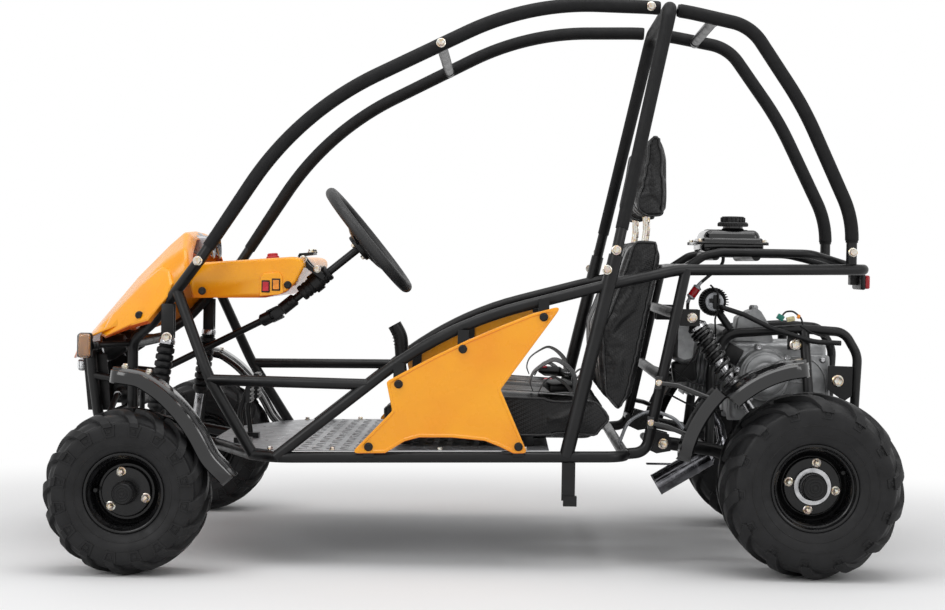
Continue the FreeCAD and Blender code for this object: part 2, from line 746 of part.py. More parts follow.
def muffler():
    """The exhaust pipe and its box, under the engine."""
    direction = V(math.cos(math.radians(31)), 0, math.sin(math.radians(31)))
    start = V(446, -128, 162)
    can = Part.makeCylinder(27, 150, start, direction)
    end = start + direction * 150
    pipe = tube([tuple(end - direction * 10), (604, -128, 258, 25), (600, -90, 300, 25), (570, -52, 350, 20),
                 (560, -44, 362 - seat_gap)], 24)
    return fuse([can, pipe])


def fuel_tank():
    """The black tank on the rack."""
    low = 708 + rack_tube / 2 + seat_gap
    lower = soft_edges(box(545, 693, -130, 70, low, 752), 8)
    flange = soft_edges(box(531, 703, -142, 82, 736, 742), 2.5)
    upper = soft_edges(box(552, 686, -122, 62, 741, 772), 12)
    neck = rod((624, -80, 770), (624, -80, 780), 24)
    return fuse([lower, flange, upper, neck])


def fuel_cap():
    """The screw cap."""
    skirt = rod((624, -80, 780 + seat_gap), (624, -80, 790), 36)
    grip = rod((624, -80, 790), (624, -80, 804), 30)
    return fuse([skirt, grip])


# ------------------------------------------------------- controls, small ----
def gear_lever():
    """The gear lever between the seats, standing on the floor."""
    stem = tube([(-150, 0, 266), (-162, 0, 400, 90), (-172, 0, 470)], 14)
    grip = tube([(-170, 0, 452), (-174, 0, 500, 60), (-190, 0, 528)], 34)
    base = box(-180, -120, -24, 24, pan_top(-120) + seat_gap, 270)
    return fuse([stem, grip, base])


def pedals():
    """Brake and throttle pedals hinged on the front cross tube."""
    shapes = []
    for y in (-250, -120):
        arm = tube([(-520, y, 262), (-530, y, 330, 60), (-508, y, 392)], 12)
        pad = box(-512, -502, y - 32, y + 32, 352, 412)
        base = box(-540, -500, y - 14, y + 14, pan_top(-500) + seat_gap, 270)
        shapes.append(fuse([arm, pad, base]))
    return Part.makeCompound(shapes)


def hanging_tab():
    """The small black bracket that hangs under the left rail."""
    x = 228.0
    top = rail_height(x) - tube_r - seat_gap
    plate = box(x - 16, x + 14, -rail_y - 4, -rail_y + 4, top - 84, top)
    foot_block = box(x - 12, x + 18, -rail_y - 10, -rail_y + 10, top - 96, top - 74)
    return fuse([plate, foot_block])


def lap_belts():
    """The folded lap straps that lie on each seat: a wide loop outside, a buckle strap inside."""
    wide = outline_xz([(146, 388.3), (144, 436), (184, 466), (198, 467), (238, 440), (243, 383.2),
                       (239, 383.4), (234, 438), (196, 463), (186, 462), (149, 434), (150, 388.1)],
                      -338, -293)
    buckle = outline_xz([(250, 382.7), (252, 404), (268, 423), (284, 421), (292, 402), (287, 380.7),
                         (283, 380.9), (287, 402), (281, 417), (270, 419), (256, 402), (254, 382.5)],
                        -104, -64)
    return both(Part.makeCompound([wide, buckle]))


def cables_and_hoses():
    """The silver gear cable, the vent hose over the engine and the fuel hose below the tank."""
    gear_cable = tube([(350, -240, 271), (368, -246, 322, 60), (420, -250, 352, 60), (478, -250, 330, 60),
                       (512, -246, 292)], 8)
    vent = tube([(588, -176.3, 588), (588, -194.5, 588, 8), (640, -194.5, 572, 80), (707, -194.5, 540, 120),
                 (805, -194.5, 511, 120), (868, -194.5, 509)], 12)
    fuel = tube([(600, -100, 718), (600, -100, 690, 25), (540, -120, 640, 40), (515, -118, 600, 40),
                 (515, -118, 556.3)], 8)
    return Part.makeCompound([gear_cable, vent, fuel])


# ----------------------------------------------------------------- build ----
# Each piece on the left is shaped to the pieces it is welded or bolted onto.
side_frames = ["left_side_frame", "right_side_frame"]
coped = {
    "left_side_frame": ["bottom_frame"], "right_side_frame": ["bottom_frame"],
    "front_frame": ["bottom_frame"] + side_frames, "rear_rack": side_frames,
    "front_cage": side_frames + ["main_hoop"],
    "main_hoop": side_frames, "rear_cage": side_frames + ["main_hoop"], "pivot_brackets": side_frames,
    "floor_pan": ["bottom_frame", "front_frame"] + side_frames, "front_guard": ["front_frame"],
    "front_control_arms": ["front_frame"] + side_frames, "front_shocks": side_frames,
    "dash_console": ["nose_cowl"],
    "cylinder": ["crankcase"], "muffler": ["cylinder", "swing_arm"], "breather": ["swing_arm"],
    "left_knuckle": ["left_front_fender"], "right_knuckle": ["right_front_fender"],
    "turn_signals": ["front_frame", "nose_cowl"], "headlights": ["front_frame", "nose_cowl", "front_guard"],
    "gauge_bezel": ["nose_cowl"], "rear_fenders": side_frames, "column_bracket": ["dash_console"],
}


def build():
    rear_centre = (rear_axle_x, -rear_track / 2, rear_hub_z)
    front_centre = (front_axle_x, -front_track / 2, front_hub_z)
    makers = [
        bottom_frame, front_frame, front_cage, main_hoop, rear_cage, rear_rack, floor_pan, front_guard,
        nose_cowl, dash_console, gauge_bezel, side_panels, seat_bases, seat_backs, headrests, lap_belts,
        rear_fenders, headlights, turn_signals, tail_light, front_control_arms, front_shocks,
        rack_housing, steering_rack, column_bracket, steering_wheel, upper_steering_shaft,
        lower_steering_shaft, rear_axle, rear_rims, sprocket, brake_disc, swing_arm, pivot_brackets,
        rear_shocks, crankcase, engine_covers, cylinder, intake, breather, muffler, fuel_tank, fuel_cap,
        gear_lever, pedals, cables_and_hoses, hanging_tab,
    ]
    for maker in makers:
        parts[maker.__name__] = maker()
    parts["rear_tyres"] = both(tyre(rear_tyre_radius, rear_tyre_width, rear_rim_radius, rear_centre))
    sided = {
        "side_frame": side_frame(), "knuckle": knuckle(), "front_fender": front_fender(),
        "front_rim": front_rim(), "tie_rod": tie_rod(),
        "front_tyre": tyre(front_tyre_radius, front_tyre_width, front_rim_radius, front_centre),
    }
    for name, shape in sided.items():
        parts["left_" + name] = shape
        parts["right_" + name] = mirrored(shape)
    for name, carriers in coped.items():
        for carrier in carriers:
            parts[name] = parts[name].cut(parts[carrier])
        parts[name] = without_offcuts(parts[name])


def write():
    os.makedirs("parts", exist_ok=True)
    for name, shape in parts.items():
        shape.exportStep("parts/" + name + ".step")
        volume = round(shape.Volume / 1000)
        print(name, "valid", shape.isValid(), "solids", len(shape.Solids), "volume", volume)
    whole = Part.makeCompound(list(parts.values())).optimalBoundingBox()
    print("nodes", len(parts))
    print("X", round(whole.XMin, 2), round(whole.XMax, 2), "Y", round(whole.YMin, 2), round(whole.YMax, 2),
          "Z", round(whole.ZMin, 2), round(whole.ZMax, 2))


build()
write()
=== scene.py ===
# %% [markdown]
# # A two-seat off-road mini go-kart
# The real kart is a frame of bent steel tubes with four knobbly tyres, yellow plastic panels, two padded seats
# and a small engine behind them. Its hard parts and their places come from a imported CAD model, the frame.
# This lesson keeps those places, gives each part its finish and builds again the parts whose look needs more
# than a plain solid. Everything is in metres: the nose points to -X, the left side is -Y and up is +Z.

# %% Load the frame
import json
import math
import bmesh
import bpy
import numpy as np
from mathutils import Matrix, Vector
from mathutils.bvhtree import BVHTree
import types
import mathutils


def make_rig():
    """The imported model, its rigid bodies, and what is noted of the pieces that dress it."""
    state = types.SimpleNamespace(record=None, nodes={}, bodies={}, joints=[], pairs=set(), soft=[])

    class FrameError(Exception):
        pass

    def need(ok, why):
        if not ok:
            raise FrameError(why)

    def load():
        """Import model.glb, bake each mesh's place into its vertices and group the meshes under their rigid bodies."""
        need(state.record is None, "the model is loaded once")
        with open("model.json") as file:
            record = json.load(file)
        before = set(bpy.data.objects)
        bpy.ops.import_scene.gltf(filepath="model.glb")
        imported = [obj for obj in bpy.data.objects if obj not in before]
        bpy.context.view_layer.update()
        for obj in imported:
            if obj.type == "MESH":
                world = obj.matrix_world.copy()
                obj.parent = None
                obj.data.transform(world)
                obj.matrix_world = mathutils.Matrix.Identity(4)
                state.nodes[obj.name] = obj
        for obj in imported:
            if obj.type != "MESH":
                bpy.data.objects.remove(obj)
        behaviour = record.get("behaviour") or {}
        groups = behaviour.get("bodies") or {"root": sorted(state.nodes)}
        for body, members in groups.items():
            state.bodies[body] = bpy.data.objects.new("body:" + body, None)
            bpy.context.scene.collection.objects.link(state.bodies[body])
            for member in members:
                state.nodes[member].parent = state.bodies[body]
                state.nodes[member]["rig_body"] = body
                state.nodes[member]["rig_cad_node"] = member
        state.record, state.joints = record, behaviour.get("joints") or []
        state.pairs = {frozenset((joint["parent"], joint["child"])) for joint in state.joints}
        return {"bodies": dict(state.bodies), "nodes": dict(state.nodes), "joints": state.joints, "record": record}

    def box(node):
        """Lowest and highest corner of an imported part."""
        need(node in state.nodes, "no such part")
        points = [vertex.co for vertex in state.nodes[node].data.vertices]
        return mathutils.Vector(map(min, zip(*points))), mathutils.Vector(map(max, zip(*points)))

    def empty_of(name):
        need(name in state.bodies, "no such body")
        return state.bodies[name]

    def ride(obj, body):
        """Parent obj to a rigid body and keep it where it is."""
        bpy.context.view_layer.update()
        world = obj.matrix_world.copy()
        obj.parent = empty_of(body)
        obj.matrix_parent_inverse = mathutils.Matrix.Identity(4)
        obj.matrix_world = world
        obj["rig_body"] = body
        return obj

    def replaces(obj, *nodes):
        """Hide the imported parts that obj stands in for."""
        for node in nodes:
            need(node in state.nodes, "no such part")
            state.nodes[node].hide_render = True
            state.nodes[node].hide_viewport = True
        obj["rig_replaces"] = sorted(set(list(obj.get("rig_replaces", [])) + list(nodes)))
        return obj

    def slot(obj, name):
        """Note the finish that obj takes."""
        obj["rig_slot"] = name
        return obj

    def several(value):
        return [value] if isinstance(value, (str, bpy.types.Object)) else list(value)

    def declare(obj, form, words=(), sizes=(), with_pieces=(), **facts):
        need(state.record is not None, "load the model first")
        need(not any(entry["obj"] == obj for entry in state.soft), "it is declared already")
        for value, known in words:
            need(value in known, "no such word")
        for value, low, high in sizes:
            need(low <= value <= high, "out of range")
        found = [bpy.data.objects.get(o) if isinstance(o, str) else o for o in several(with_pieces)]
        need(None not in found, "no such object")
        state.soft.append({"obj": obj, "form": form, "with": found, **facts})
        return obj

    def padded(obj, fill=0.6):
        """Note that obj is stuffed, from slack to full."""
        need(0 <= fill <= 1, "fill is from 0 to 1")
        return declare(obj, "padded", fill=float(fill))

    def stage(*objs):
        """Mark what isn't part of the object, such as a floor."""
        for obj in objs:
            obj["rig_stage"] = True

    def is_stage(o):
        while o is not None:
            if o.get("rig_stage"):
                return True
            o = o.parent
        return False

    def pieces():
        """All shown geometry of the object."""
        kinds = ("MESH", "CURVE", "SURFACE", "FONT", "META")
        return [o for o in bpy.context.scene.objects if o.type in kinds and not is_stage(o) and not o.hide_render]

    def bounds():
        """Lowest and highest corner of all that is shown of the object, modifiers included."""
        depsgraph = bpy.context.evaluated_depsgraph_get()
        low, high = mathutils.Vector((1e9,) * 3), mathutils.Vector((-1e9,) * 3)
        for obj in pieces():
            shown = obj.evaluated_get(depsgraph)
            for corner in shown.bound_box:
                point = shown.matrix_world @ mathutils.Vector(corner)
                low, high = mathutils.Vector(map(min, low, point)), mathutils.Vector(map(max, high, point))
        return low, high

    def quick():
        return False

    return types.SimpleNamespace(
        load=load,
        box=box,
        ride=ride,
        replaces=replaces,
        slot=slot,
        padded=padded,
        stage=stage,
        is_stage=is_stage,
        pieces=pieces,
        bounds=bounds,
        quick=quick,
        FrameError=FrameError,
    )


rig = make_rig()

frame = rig.load()
cad_nodes = frame["nodes"]
cad_low, cad_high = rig.bounds()
print("frame:", len(cad_nodes), "nodes, size", [round(v, 3) for v in cad_high - cad_low])

# %% [markdown]
# ## The camera
# The kart is seen straight from its left side, from 4.5 m away and a little above its middle. The camera leans
# by one degree. A small shift moves the picture without turning the camera, as a view camera does, so that
# upright parts stay upright.

# %% Camera
camera_lean = math.radians(1.0)
camera_place = Vector((0.078, -4.5, 0.683))


def place_camera():
    """The camera on the kart's left side, looking along +Y."""
    data = bpy.data.cameras.new("camera")
    data.lens = 70.04
    data.sensor_width = 36.0
    data.sensor_fit = "HORIZONTAL"
    data.shift_x = -0.0344
    data.shift_y = -0.0444
    camera = bpy.data.objects.new("camera", data)
    bpy.context.scene.collection.objects.link(camera)
    lean = Matrix(((math.cos(camera_lean), -math.sin(camera_lean), 0),
                   (0, 0, -1),
                   (math.sin(camera_lean), math.cos(camera_lean), 0)))
    camera.matrix_world = Matrix.Translation(camera_place) @ lean.to_4x4()
    bpy.context.scene.camera = camera
    print("camera: lens", data.lens, "mm")


place_camera()

# %% [markdown]
# ## Tools for finishes
# Every finish is one Principled shader fed by a few nodes: cloudy noise for blotches and dust, cells for pits,
# bump for grain, and a worn or softened edge. The class below gives those nodes short names, so that each
# finish reads like a recipe. The noise is measured in metres on the object, so it needs no unwrapping.

# %% Finish class


def paint(red, green, blue):
    """A colour read off a chart (0 to 255), in the linear light that shaders use."""
    def linear(part):
        part /= 255
        return part / 12.92 if part <= 0.04045 else ((part + 0.055) / 1.055) ** 2.4
    return (linear(red), linear(green), linear(blue), 1.0)


class Finish:
    """A material, with short calls for the nodes that a real surface needs."""

    def __init__(self, name, colour, roughness, metallic=0.0, **shine):
        self.material = bpy.data.materials.new(name)
        self.material.use_nodes = True
        self.tree = self.material.node_tree
        self.shader = self.tree.nodes["Principled BSDF"]
        self.colour = colour
        self.shader.inputs["Base Color"].default_value = colour
        self.shader.inputs["Roughness"].default_value = roughness
        self.shader.inputs["Metallic"].default_value = metallic
        for socket, value in shine.items():
            self.shader.inputs[socket.replace("_", " ")].default_value = value
        self.roughness = roughness
        self.place = self.add("TexCoord").outputs["Object"]

    def add(self, kind, inputs=None, **settings):
        node = self.tree.nodes.new("ShaderNode" + kind)
        for key, value in settings.items():
            setattr(node, key, value)
        for key, value in (inputs or {}).items():
            if isinstance(value, bpy.types.NodeSocket):
                self.tree.links.new(value, node.inputs[key])
            else:
                node.inputs[key].default_value = value
        return node

    def clouds(self, size, detail=4.0):
        """Cloudy variation, from 0 to 1, whose blotches are about this many metres across."""
        noise = self.add("TexNoise", {"Vector": self.place, "Scale": 1 / size, "Detail": detail})
        return self.spread(noise.outputs["Fac"], 0.0, 1.0, 0.32, 0.68)

    def cells(self, size, feature="F1"):
        """Distance to the nearest of many scattered points, for pits and pores."""
        node = self.add("TexVoronoi", {"Vector": self.place, "Scale": 1 / size}, feature=feature)
        return node.outputs["Distance"]

    def spread(self, value, low, high, start=0.0, end=1.0):
        node = self.add("MapRange", {"Value": value, "From Min": start, "From Max": end, "To Min": low, "To Max": high})
        return node.outputs["Result"]

    def maths(self, operation, first, second=0.0):
        return self.add("Math", {0: first, 1: second}, operation=operation).outputs[0]

    def blend(self, share, first, second):
        node = self.add("Mix", {0: share, 6: first, 7: second}, data_type="RGBA")
        return node.outputs[2]

    def set_colour(self, value):
        self.tree.links.new(value, self.shader.inputs["Base Color"])

    def vary(self, size, dark, light):
        """The colour drifts between a darker and a lighter share of itself."""
        low = tuple(c * dark for c in self.colour[:3]) + (1.0,)
        high = tuple(min(1.0, c * light) for c in self.colour[:3]) + (1.0,)
        shade = self.blend(self.clouds(size), low, high)
        self.set_colour(shade)
        return shade

    def patchy_shine(self, size, change):
        """Roughness that drifts by this much each way, as handling and dust leave it."""
        value = self.spread(self.clouds(size, 6.0), self.roughness - change, self.roughness + change)
        self.tree.links.new(value, self.shader.inputs["Roughness"])

    def normal(self):
        links = self.shader.inputs["Normal"].links
        return links[0].from_socket if links else None

    def relief(self, height, depth, strength=1.0):
        """Adds bump of this depth, in metres, on top of any there is."""
        inputs = {"Height": height, "Distance": depth, "Strength": strength}
        before = self.normal()
        if before is not None:
            inputs["Normal"] = before
        bump = self.add("Bump", inputs)
        self.tree.links.new(bump.outputs["Normal"], self.shader.inputs["Normal"])

    def soft_edges(self, radius):
        """Rounds the look of sharp edges. It comes before any relief."""
        bevel = self.add("Bevel", {"Radius": radius}, samples=4)
        self.tree.links.new(bevel.outputs["Normal"], self.shader.inputs["Normal"])

    def worn_edges(self, shade, colour, radius, share=0.8):
        """Lightens the colour where the surface turns sharply."""
        bevel = self.add("Bevel", {"Radius": radius}, samples=4)
        flat = self.add("NewGeometry").outputs["Normal"]
        same = self.add("VectorMath", {0: bevel.outputs["Normal"], 1: flat}, operation="DOT_PRODUCT")
        turn = self.spread(same.outputs["Value"], share, 0.0, 0.86, 0.99)
        mask = self.maths("MULTIPLY", turn, self.clouds(0.012))
        self.set_colour(self.blend(mask, shade, colour))


print("finish tools ready")

# %% [markdown]
# ## Paints and metals
# The frame is powder-coated steel, which has a faint orange-peel surface. The roll cage wears a soft foam
# sleeve. Bolts are zinc-plated with the yellow and pink sheen of passivated zinc. Each recipe is short.

# %% Black paint, foam sleeve and steel finishes


def frame_black():
    f = Finish("frame_black", paint(15, 15, 16), 0.36, Specular_IOR_Level=0.3)
    f.soft_edges(0.0008)
    shade = f.vary(0.05, 0.7, 1.5)
    f.worn_edges(shade, paint(46, 45, 44), 0.0012, 0.3)
    f.patchy_shine(0.03, 0.07)
    f.relief(f.clouds(0.0016, 2.0), 0.00012, 0.5)
    return f.material


def cage_foam():
    f = Finish("cage_black", paint(18, 18, 19), 0.62, Specular_IOR_Level=0.2)
    f.vary(0.02, 0.75, 1.3)
    f.patchy_shine(0.01, 0.08)
    f.relief(f.cells(0.0011), 0.0002, 0.45)
    f.relief(f.clouds(0.02, 2.0), 0.0006, 0.3)
    return f.material


def rim_black():
    f = Finish("rim_black", paint(14, 14, 15), 0.3, Specular_IOR_Level=0.35)
    f.soft_edges(0.0006)
    shade = f.vary(0.03, 0.8, 1.5)
    f.worn_edges(shade, paint(46, 45, 44), 0.001, 0.25)
    f.patchy_shine(0.02, 0.08)
    f.relief(f.clouds(0.003, 3.0), 0.0001, 0.4)
    return f.material


def zinc_plate():
    f = Finish("zinc_plate", paint(205, 190, 150), 0.27, metallic=1.0)
    warm = f.blend(f.clouds(0.004, 1.0), paint(214, 186, 120), paint(196, 176, 190))
    f.set_colour(f.blend(f.clouds(0.009, 1.0), warm, paint(214, 216, 208)))
    f.patchy_shine(0.004, 0.1)
    f.relief(f.clouds(0.0012), 0.00005, 0.5)
    return f.material


def bright_steel():
    f = Finish("bright_steel", paint(186, 186, 188), 0.2, metallic=1.0)
    f.soft_edges(0.0006)
    f.vary(0.012, 0.7, 1.15)
    f.patchy_shine(0.006, 0.1)
    f.relief(f.clouds(0.002), 0.00006, 0.5)
    return f.material


def dark_chrome():
    f = Finish("dark_chrome", paint(128, 128, 132), 0.16, metallic=1.0)
    f.vary(0.02, 0.5, 1.3)
    f.patchy_shine(0.012, 0.07)
    f.relief(f.clouds(0.01, 2.0), 0.0002, 0.25)
    return f.material


black_paint = frame_black()
sleeve_foam = cage_foam()
rim_paint = rim_black()
zinc = zinc_plate()
steel = bright_steel()
chrome = dark_chrome()
print("paints and metals:", len(bpy.data.materials))

# %% [markdown]
# ## Castings, floor and plastics
# The engine is sand-blasted light alloy, so it gets small pits and a dull grey. The floor is sheet steel.
# The yellow plastic is glossy. Its colour is painted redder where the surface faces down, as painted shade
# for the orange look of its shaded side.

# %% Alloy, sheet and plastic finishes


def engine_alloy():
    f = Finish("engine_alloy", paint(150, 151, 152), 0.42, metallic=0.75)
    f.soft_edges(0.0012)
    shade = f.vary(0.03, 0.72, 1.2)
    f.worn_edges(shade, paint(196, 196, 196), 0.0015, 0.4)
    f.patchy_shine(0.01, 0.08)
    f.relief(f.cells(0.0014), 0.00016, 0.5)
    f.relief(f.clouds(0.02), 0.0005, 0.3)
    return f.material


def floor_steel():
    f = Finish("floor_steel", paint(150, 151, 154), 0.36, metallic=0.8)
    shade = f.vary(0.05, 0.75, 1.15)
    f.worn_edges(shade, paint(200, 200, 200), 0.001, 0.5)
    f.patchy_shine(0.02, 0.1)
    f.relief(f.clouds(0.002), 0.0001, 0.5)
    return f.material


def body_yellow():
    f = Finish("body_yellow", paint(247, 160, 8), 0.28, Coat_Weight=0.2, Coat_Roughness=0.08,
               Specular_IOR_Level=0.45)
    # Painted shade: the colour turns orange-red where the surface faces down.
    facing = f.add("SeparateXYZ", {0: f.add("NewGeometry").outputs["Normal"]}).outputs["Z"]
    down = f.spread(facing, 1.0, 0.0, -0.85, -0.25)
    drift = f.blend(f.clouds(0.12, 2.0), paint(244, 154, 6), paint(250, 168, 14))
    f.set_colour(f.blend(down, drift, paint(226, 92, 22)))
    f.patchy_shine(0.03, 0.05)
    f.relief(f.clouds(0.0025, 2.0), 0.00008, 0.35)
    f.relief(f.clouds(0.07, 1.0), 0.0012, 0.15)
    return f.material


def fender_black():
    f = Finish("fender_black", paint(12, 12, 13), 0.14, Coat_Weight=0.3, Coat_Roughness=0.06)
    f.vary(0.06, 0.7, 1.4)
    f.patchy_shine(0.02, 0.05)
    f.relief(f.clouds(0.03, 2.0), 0.0006, 0.25)
    f.relief(f.clouds(0.002), 0.00005, 0.3)
    return f.material


def plastic_black():
    f = Finish("plastic_black", paint(16, 16, 17), 0.42, Specular_IOR_Level=0.3)
    f.soft_edges(0.0006)
    f.vary(0.02, 0.75, 1.4)
    f.patchy_shine(0.01, 0.08)
    f.relief(f.cells(0.0009), 0.0001, 0.5)
    return f.material


def bezel_grey():
    f = Finish("bezel_grey", paint(168, 170, 174), 0.3, metallic=0.35)
    f.vary(0.03, 0.85, 1.1)
    f.patchy_shine(0.01, 0.06)
    f.relief(f.clouds(0.0015), 0.00006, 0.4)
    return f.material


alloy = engine_alloy()
sheet_steel = floor_steel()
yellow = body_yellow()
gloss_black = fender_black()
plastic = plastic_black()
bezel = bezel_grey()
print("finishes so far:", len(bpy.data.materials))

# %% [markdown]
# ## Rubber, vinyl and foam
# Tyre rubber is dull with a dusty bloom. The seats are covered in vinyl pressed with a carbon weave, and in
# smooth vinyl along their edges. The weave is worked out from the position on the object: two crossing sets
# of ridges that take turns on a chequerboard.

# %% Rubber, vinyl and lamp finishes


def tyre_rubber():
    f = Finish("tyre_rubber", paint(26, 26, 27), 0.52, Specular_IOR_Level=0.25)
    shade = f.blend(f.clouds(0.035, 6.0), paint(22, 22, 23), paint(32, 32, 33))
    f.worn_edges(shade, paint(50, 49, 48), 0.0016, 0.35)
    f.patchy_shine(0.02, 0.09)
    f.relief(f.cells(0.0016), 0.00018, 0.5)
    f.relief(f.clouds(0.012), 0.0006, 0.35)
    return f.material


def soft_rubber():
    f = Finish("soft_rubber", paint(15, 15, 16), 0.46, Specular_IOR_Level=0.3)
    f.vary(0.01, 0.7, 1.5)
    f.patchy_shine(0.01, 0.1)
    f.relief(f.clouds(0.003), 0.0002, 0.4)
    return f.material


def seat_weave():
    f = Finish("seat_vinyl_weave", paint(22, 22, 23), 0.42, Specular_IOR_Level=0.35)
    pitch = 0.0052
    parts = f.add("SeparateXYZ", {0: f.place}).outputs
    across = f.maths("ADD", parts["X"], parts["Y"])
    slant = f.maths("MULTIPLY", f.maths("SUBTRACT", parts["X"], parts["Y"]), 0.5)
    along = f.maths("ADD", parts["Z"], slant)
    ridges = []
    for line in (across, along):
        turns = f.maths("MULTIPLY", line, math.pi / pitch)
        ridges.append(f.maths("ABSOLUTE", f.maths("SINE", turns)))
    grid = f.add("CombineXYZ", {0: across, 1: along, 2: 0.0}).outputs[0]
    over = f.add("TexChecker", {"Vector": grid, "Scale": 1 / pitch}).outputs["Fac"]
    first = f.maths("MULTIPLY", ridges[0], over)
    second = f.maths("MULTIPLY", ridges[1], f.maths("SUBTRACT", 1.0, over))
    height = f.maths("ADD", first, second)
    tone = f.blend(over, paint(17, 17, 18), paint(30, 30, 31))
    # Painted shade: the colour is darker down between the ridges of the weave. The chequer of two tones is the weave's
    # own pattern.
    f.set_colour(f.blend(f.spread(height, 0.0, 1.0), paint(10, 10, 11), tone))
    f.patchy_shine(0.03, 0.08)
    f.relief(height, 0.0007, 0.6)
    f.relief(f.clouds(0.05, 2.0), 0.002, 0.3)
    return f.material


def seat_smooth():
    f = Finish("seat_vinyl_smooth", paint(18, 18, 19), 0.32, Coat_Weight=0.12, Coat_Roughness=0.2)
    f.vary(0.03, 0.75, 1.4)
    f.patchy_shine(0.02, 0.08)
    f.relief(f.cells(0.0022), 0.0003, 0.35)
    f.relief(f.clouds(0.022, 3.0), 0.0022, 0.45)
    return f.material


def belt_webbing():
    f = Finish("belt_webbing", paint(26, 26, 27), 0.62, Sheen_Weight=0.25)
    parts = f.add("SeparateXYZ", {0: f.place}).outputs
    line = f.maths("ADD", parts["X"], f.maths("ADD", parts["Y"], parts["Z"]))
    rib = f.maths("ABSOLUTE", f.maths("SINE", f.maths("MULTIPLY", line, math.pi / 0.0022)))
    # Painted shade: the colour is darker in the grooves between the ribs and lighter on their tops.
    f.set_colour(f.blend(rib, paint(17, 17, 18), paint(44, 44, 46)))
    f.patchy_shine(0.01, 0.06)
    f.relief(rib, 0.0004, 0.6)
    return f.material


def wheel_foam():
    f = Finish("wheel_foam", paint(25, 25, 26), 0.5)
    f.vary(0.015, 0.75, 1.4)
    f.patchy_shine(0.015, 0.08)
    f.relief(f.cells(0.0018), 0.0003, 0.4)
    return f.material


def clear_lens(name, colour, see_through=0.9):
    f = Finish(name, colour, 0.08, Transmission_Weight=see_through, IOR=1.46)
    f.vary(0.02, 0.88, 1.0)
    f.patchy_shine(0.01, 0.04)
    f.relief(f.clouds(0.006, 1.0), 0.0003, 0.3)
    return f.material


def plain_plastic(name, colour, roughness=0.35):
    f = Finish(name, colour, roughness)
    f.vary(0.008, 0.8, 1.15)
    f.patchy_shine(0.004, 0.08)
    f.relief(f.clouds(0.0015), 0.00008, 0.4)
    return f.material


rubber = tyre_rubber()
boot_rubber = soft_rubber()
weave = seat_weave()
vinyl = seat_smooth()
webbing = belt_webbing()
grip_foam = wheel_foam()
clear_glass = clear_lens("lamp_clear", paint(238, 240, 242))
amber_glass = clear_lens("lamp_amber", paint(250, 170, 60), 0.6)
red_glass = clear_lens("lamp_red", paint(200, 22, 34), 0.35)
red_plastic = plain_plastic("rocker_red", paint(188, 26, 44))
amber_plastic = plain_plastic("rocker_amber", paint(240, 146, 44))
teal_plastic = plain_plastic("plug_teal", paint(20, 120, 104))
cream_plastic = plain_plastic("plug_cream", paint(206, 196, 150))
grey_plastic = plain_plastic("plug_grey", paint(140, 142, 144))
print("finishes:", len(bpy.data.materials))

# %% [markdown]
# ## Floor, light and backdrop
# A studio for vehicles is a pale floor that runs into a pale wall, lit by large soft boxes. Here the world
# stands for the wall: rays that the camera, gloss or glass send out see plain white, and the soft light on the
# object is weaker. The floor keeps the kart's shadow near it and fades to white further out.

# %% Studio
studio_light = 0.5
floor_fade_start = 1.15
floor_fade_end = 2.6


def place_world():
    """White where it is seen or mirrored, and a softer white as light."""
    world = bpy.data.worlds.new("studio")
    world.use_nodes = True
    tree = world.node_tree
    background = tree.nodes["Background"]
    path = tree.nodes.new("ShaderNodeLightPath")
    seen = path.outputs["Is Camera Ray"]
    for other in ("Is Glossy Ray", "Is Transmission Ray"):
        largest = tree.nodes.new("ShaderNodeMath")
        largest.operation = "MAXIMUM"
        tree.links.new(seen, largest.inputs[0])
        tree.links.new(path.outputs[other], largest.inputs[1])
        seen = largest.outputs[0]
    strength = tree.nodes.new("ShaderNodeMapRange")
    strength.inputs["To Min"].default_value = studio_light
    strength.inputs["To Max"].default_value = 1.0
    tree.links.new(seen, strength.inputs["Value"])
    background.inputs["Color"].default_value = (1, 1, 1, 1)
    tree.links.new(strength.outputs["Result"], background.inputs["Strength"])
    bpy.context.scene.world = world


def floor_finish():
    """A pale matt floor that fades to plain white away from the kart."""
    f = Finish("floor", (0.86, 0.86, 0.865, 1.0), 0.75, Specular_IOR_Level=0.2)
    f.vary(0.4, 0.985, 1.0)
    f.relief(f.clouds(0.01), 0.0001, 0.2)
    middle = f.add("VectorMath", {0: f.place, 1: (1.0, 1.35, 0.0)}, operation="MULTIPLY").outputs[0]
    away = f.add("VectorMath", {0: middle}, operation="LENGTH").outputs["Value"]
    share = f.add("MapRange", {"Value": away, "From Min": floor_fade_start, "From Max": floor_fade_end},
                  interpolation_type="SMOOTHSTEP").outputs["Result"]
    glow = f.add("Emission", {"Color": (1, 1, 1, 1), "Strength": 1.0}).outputs[0]
    mixed = f.add("MixShader", {0: share, 1: f.shader.outputs[0], 2: glow}).outputs[0]
    f.tree.links.new(mixed, f.tree.nodes["Material Output"].inputs["Surface"])
    return f.material


def place_floor():
    half = 30.0
    mesh = bpy.data.meshes.new("floor")
    mesh.from_pydata([(-half, -half, 0), (half, -half, 0), (half, half, 0), (-half, half, 0)], [], [(0, 1, 2, 3)])
    mesh.materials.append(floor_finish())
    floor = bpy.data.objects.new("floor", mesh)
    bpy.context.scene.collection.objects.link(floor)
    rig.stage(floor)


def soft_box(name, place, width, depth, watts):
    """A large rectangular lamp aimed at the middle of the kart."""
    data = bpy.data.lights.new(name, "AREA")
    data.shape = "RECTANGLE"
    data.size = width
    data.size_y = depth
    data.energy = watts
    lamp = bpy.data.objects.new(name, data)
    bpy.context.scene.collection.objects.link(lamp)
    lamp.location = place
    aim = Vector((0, 0, 0.5)) - Vector(place)
    lamp.rotation_mode = "QUATERNION"
    lamp.rotation_quaternion = aim.to_track_quat("-Z", "Y")


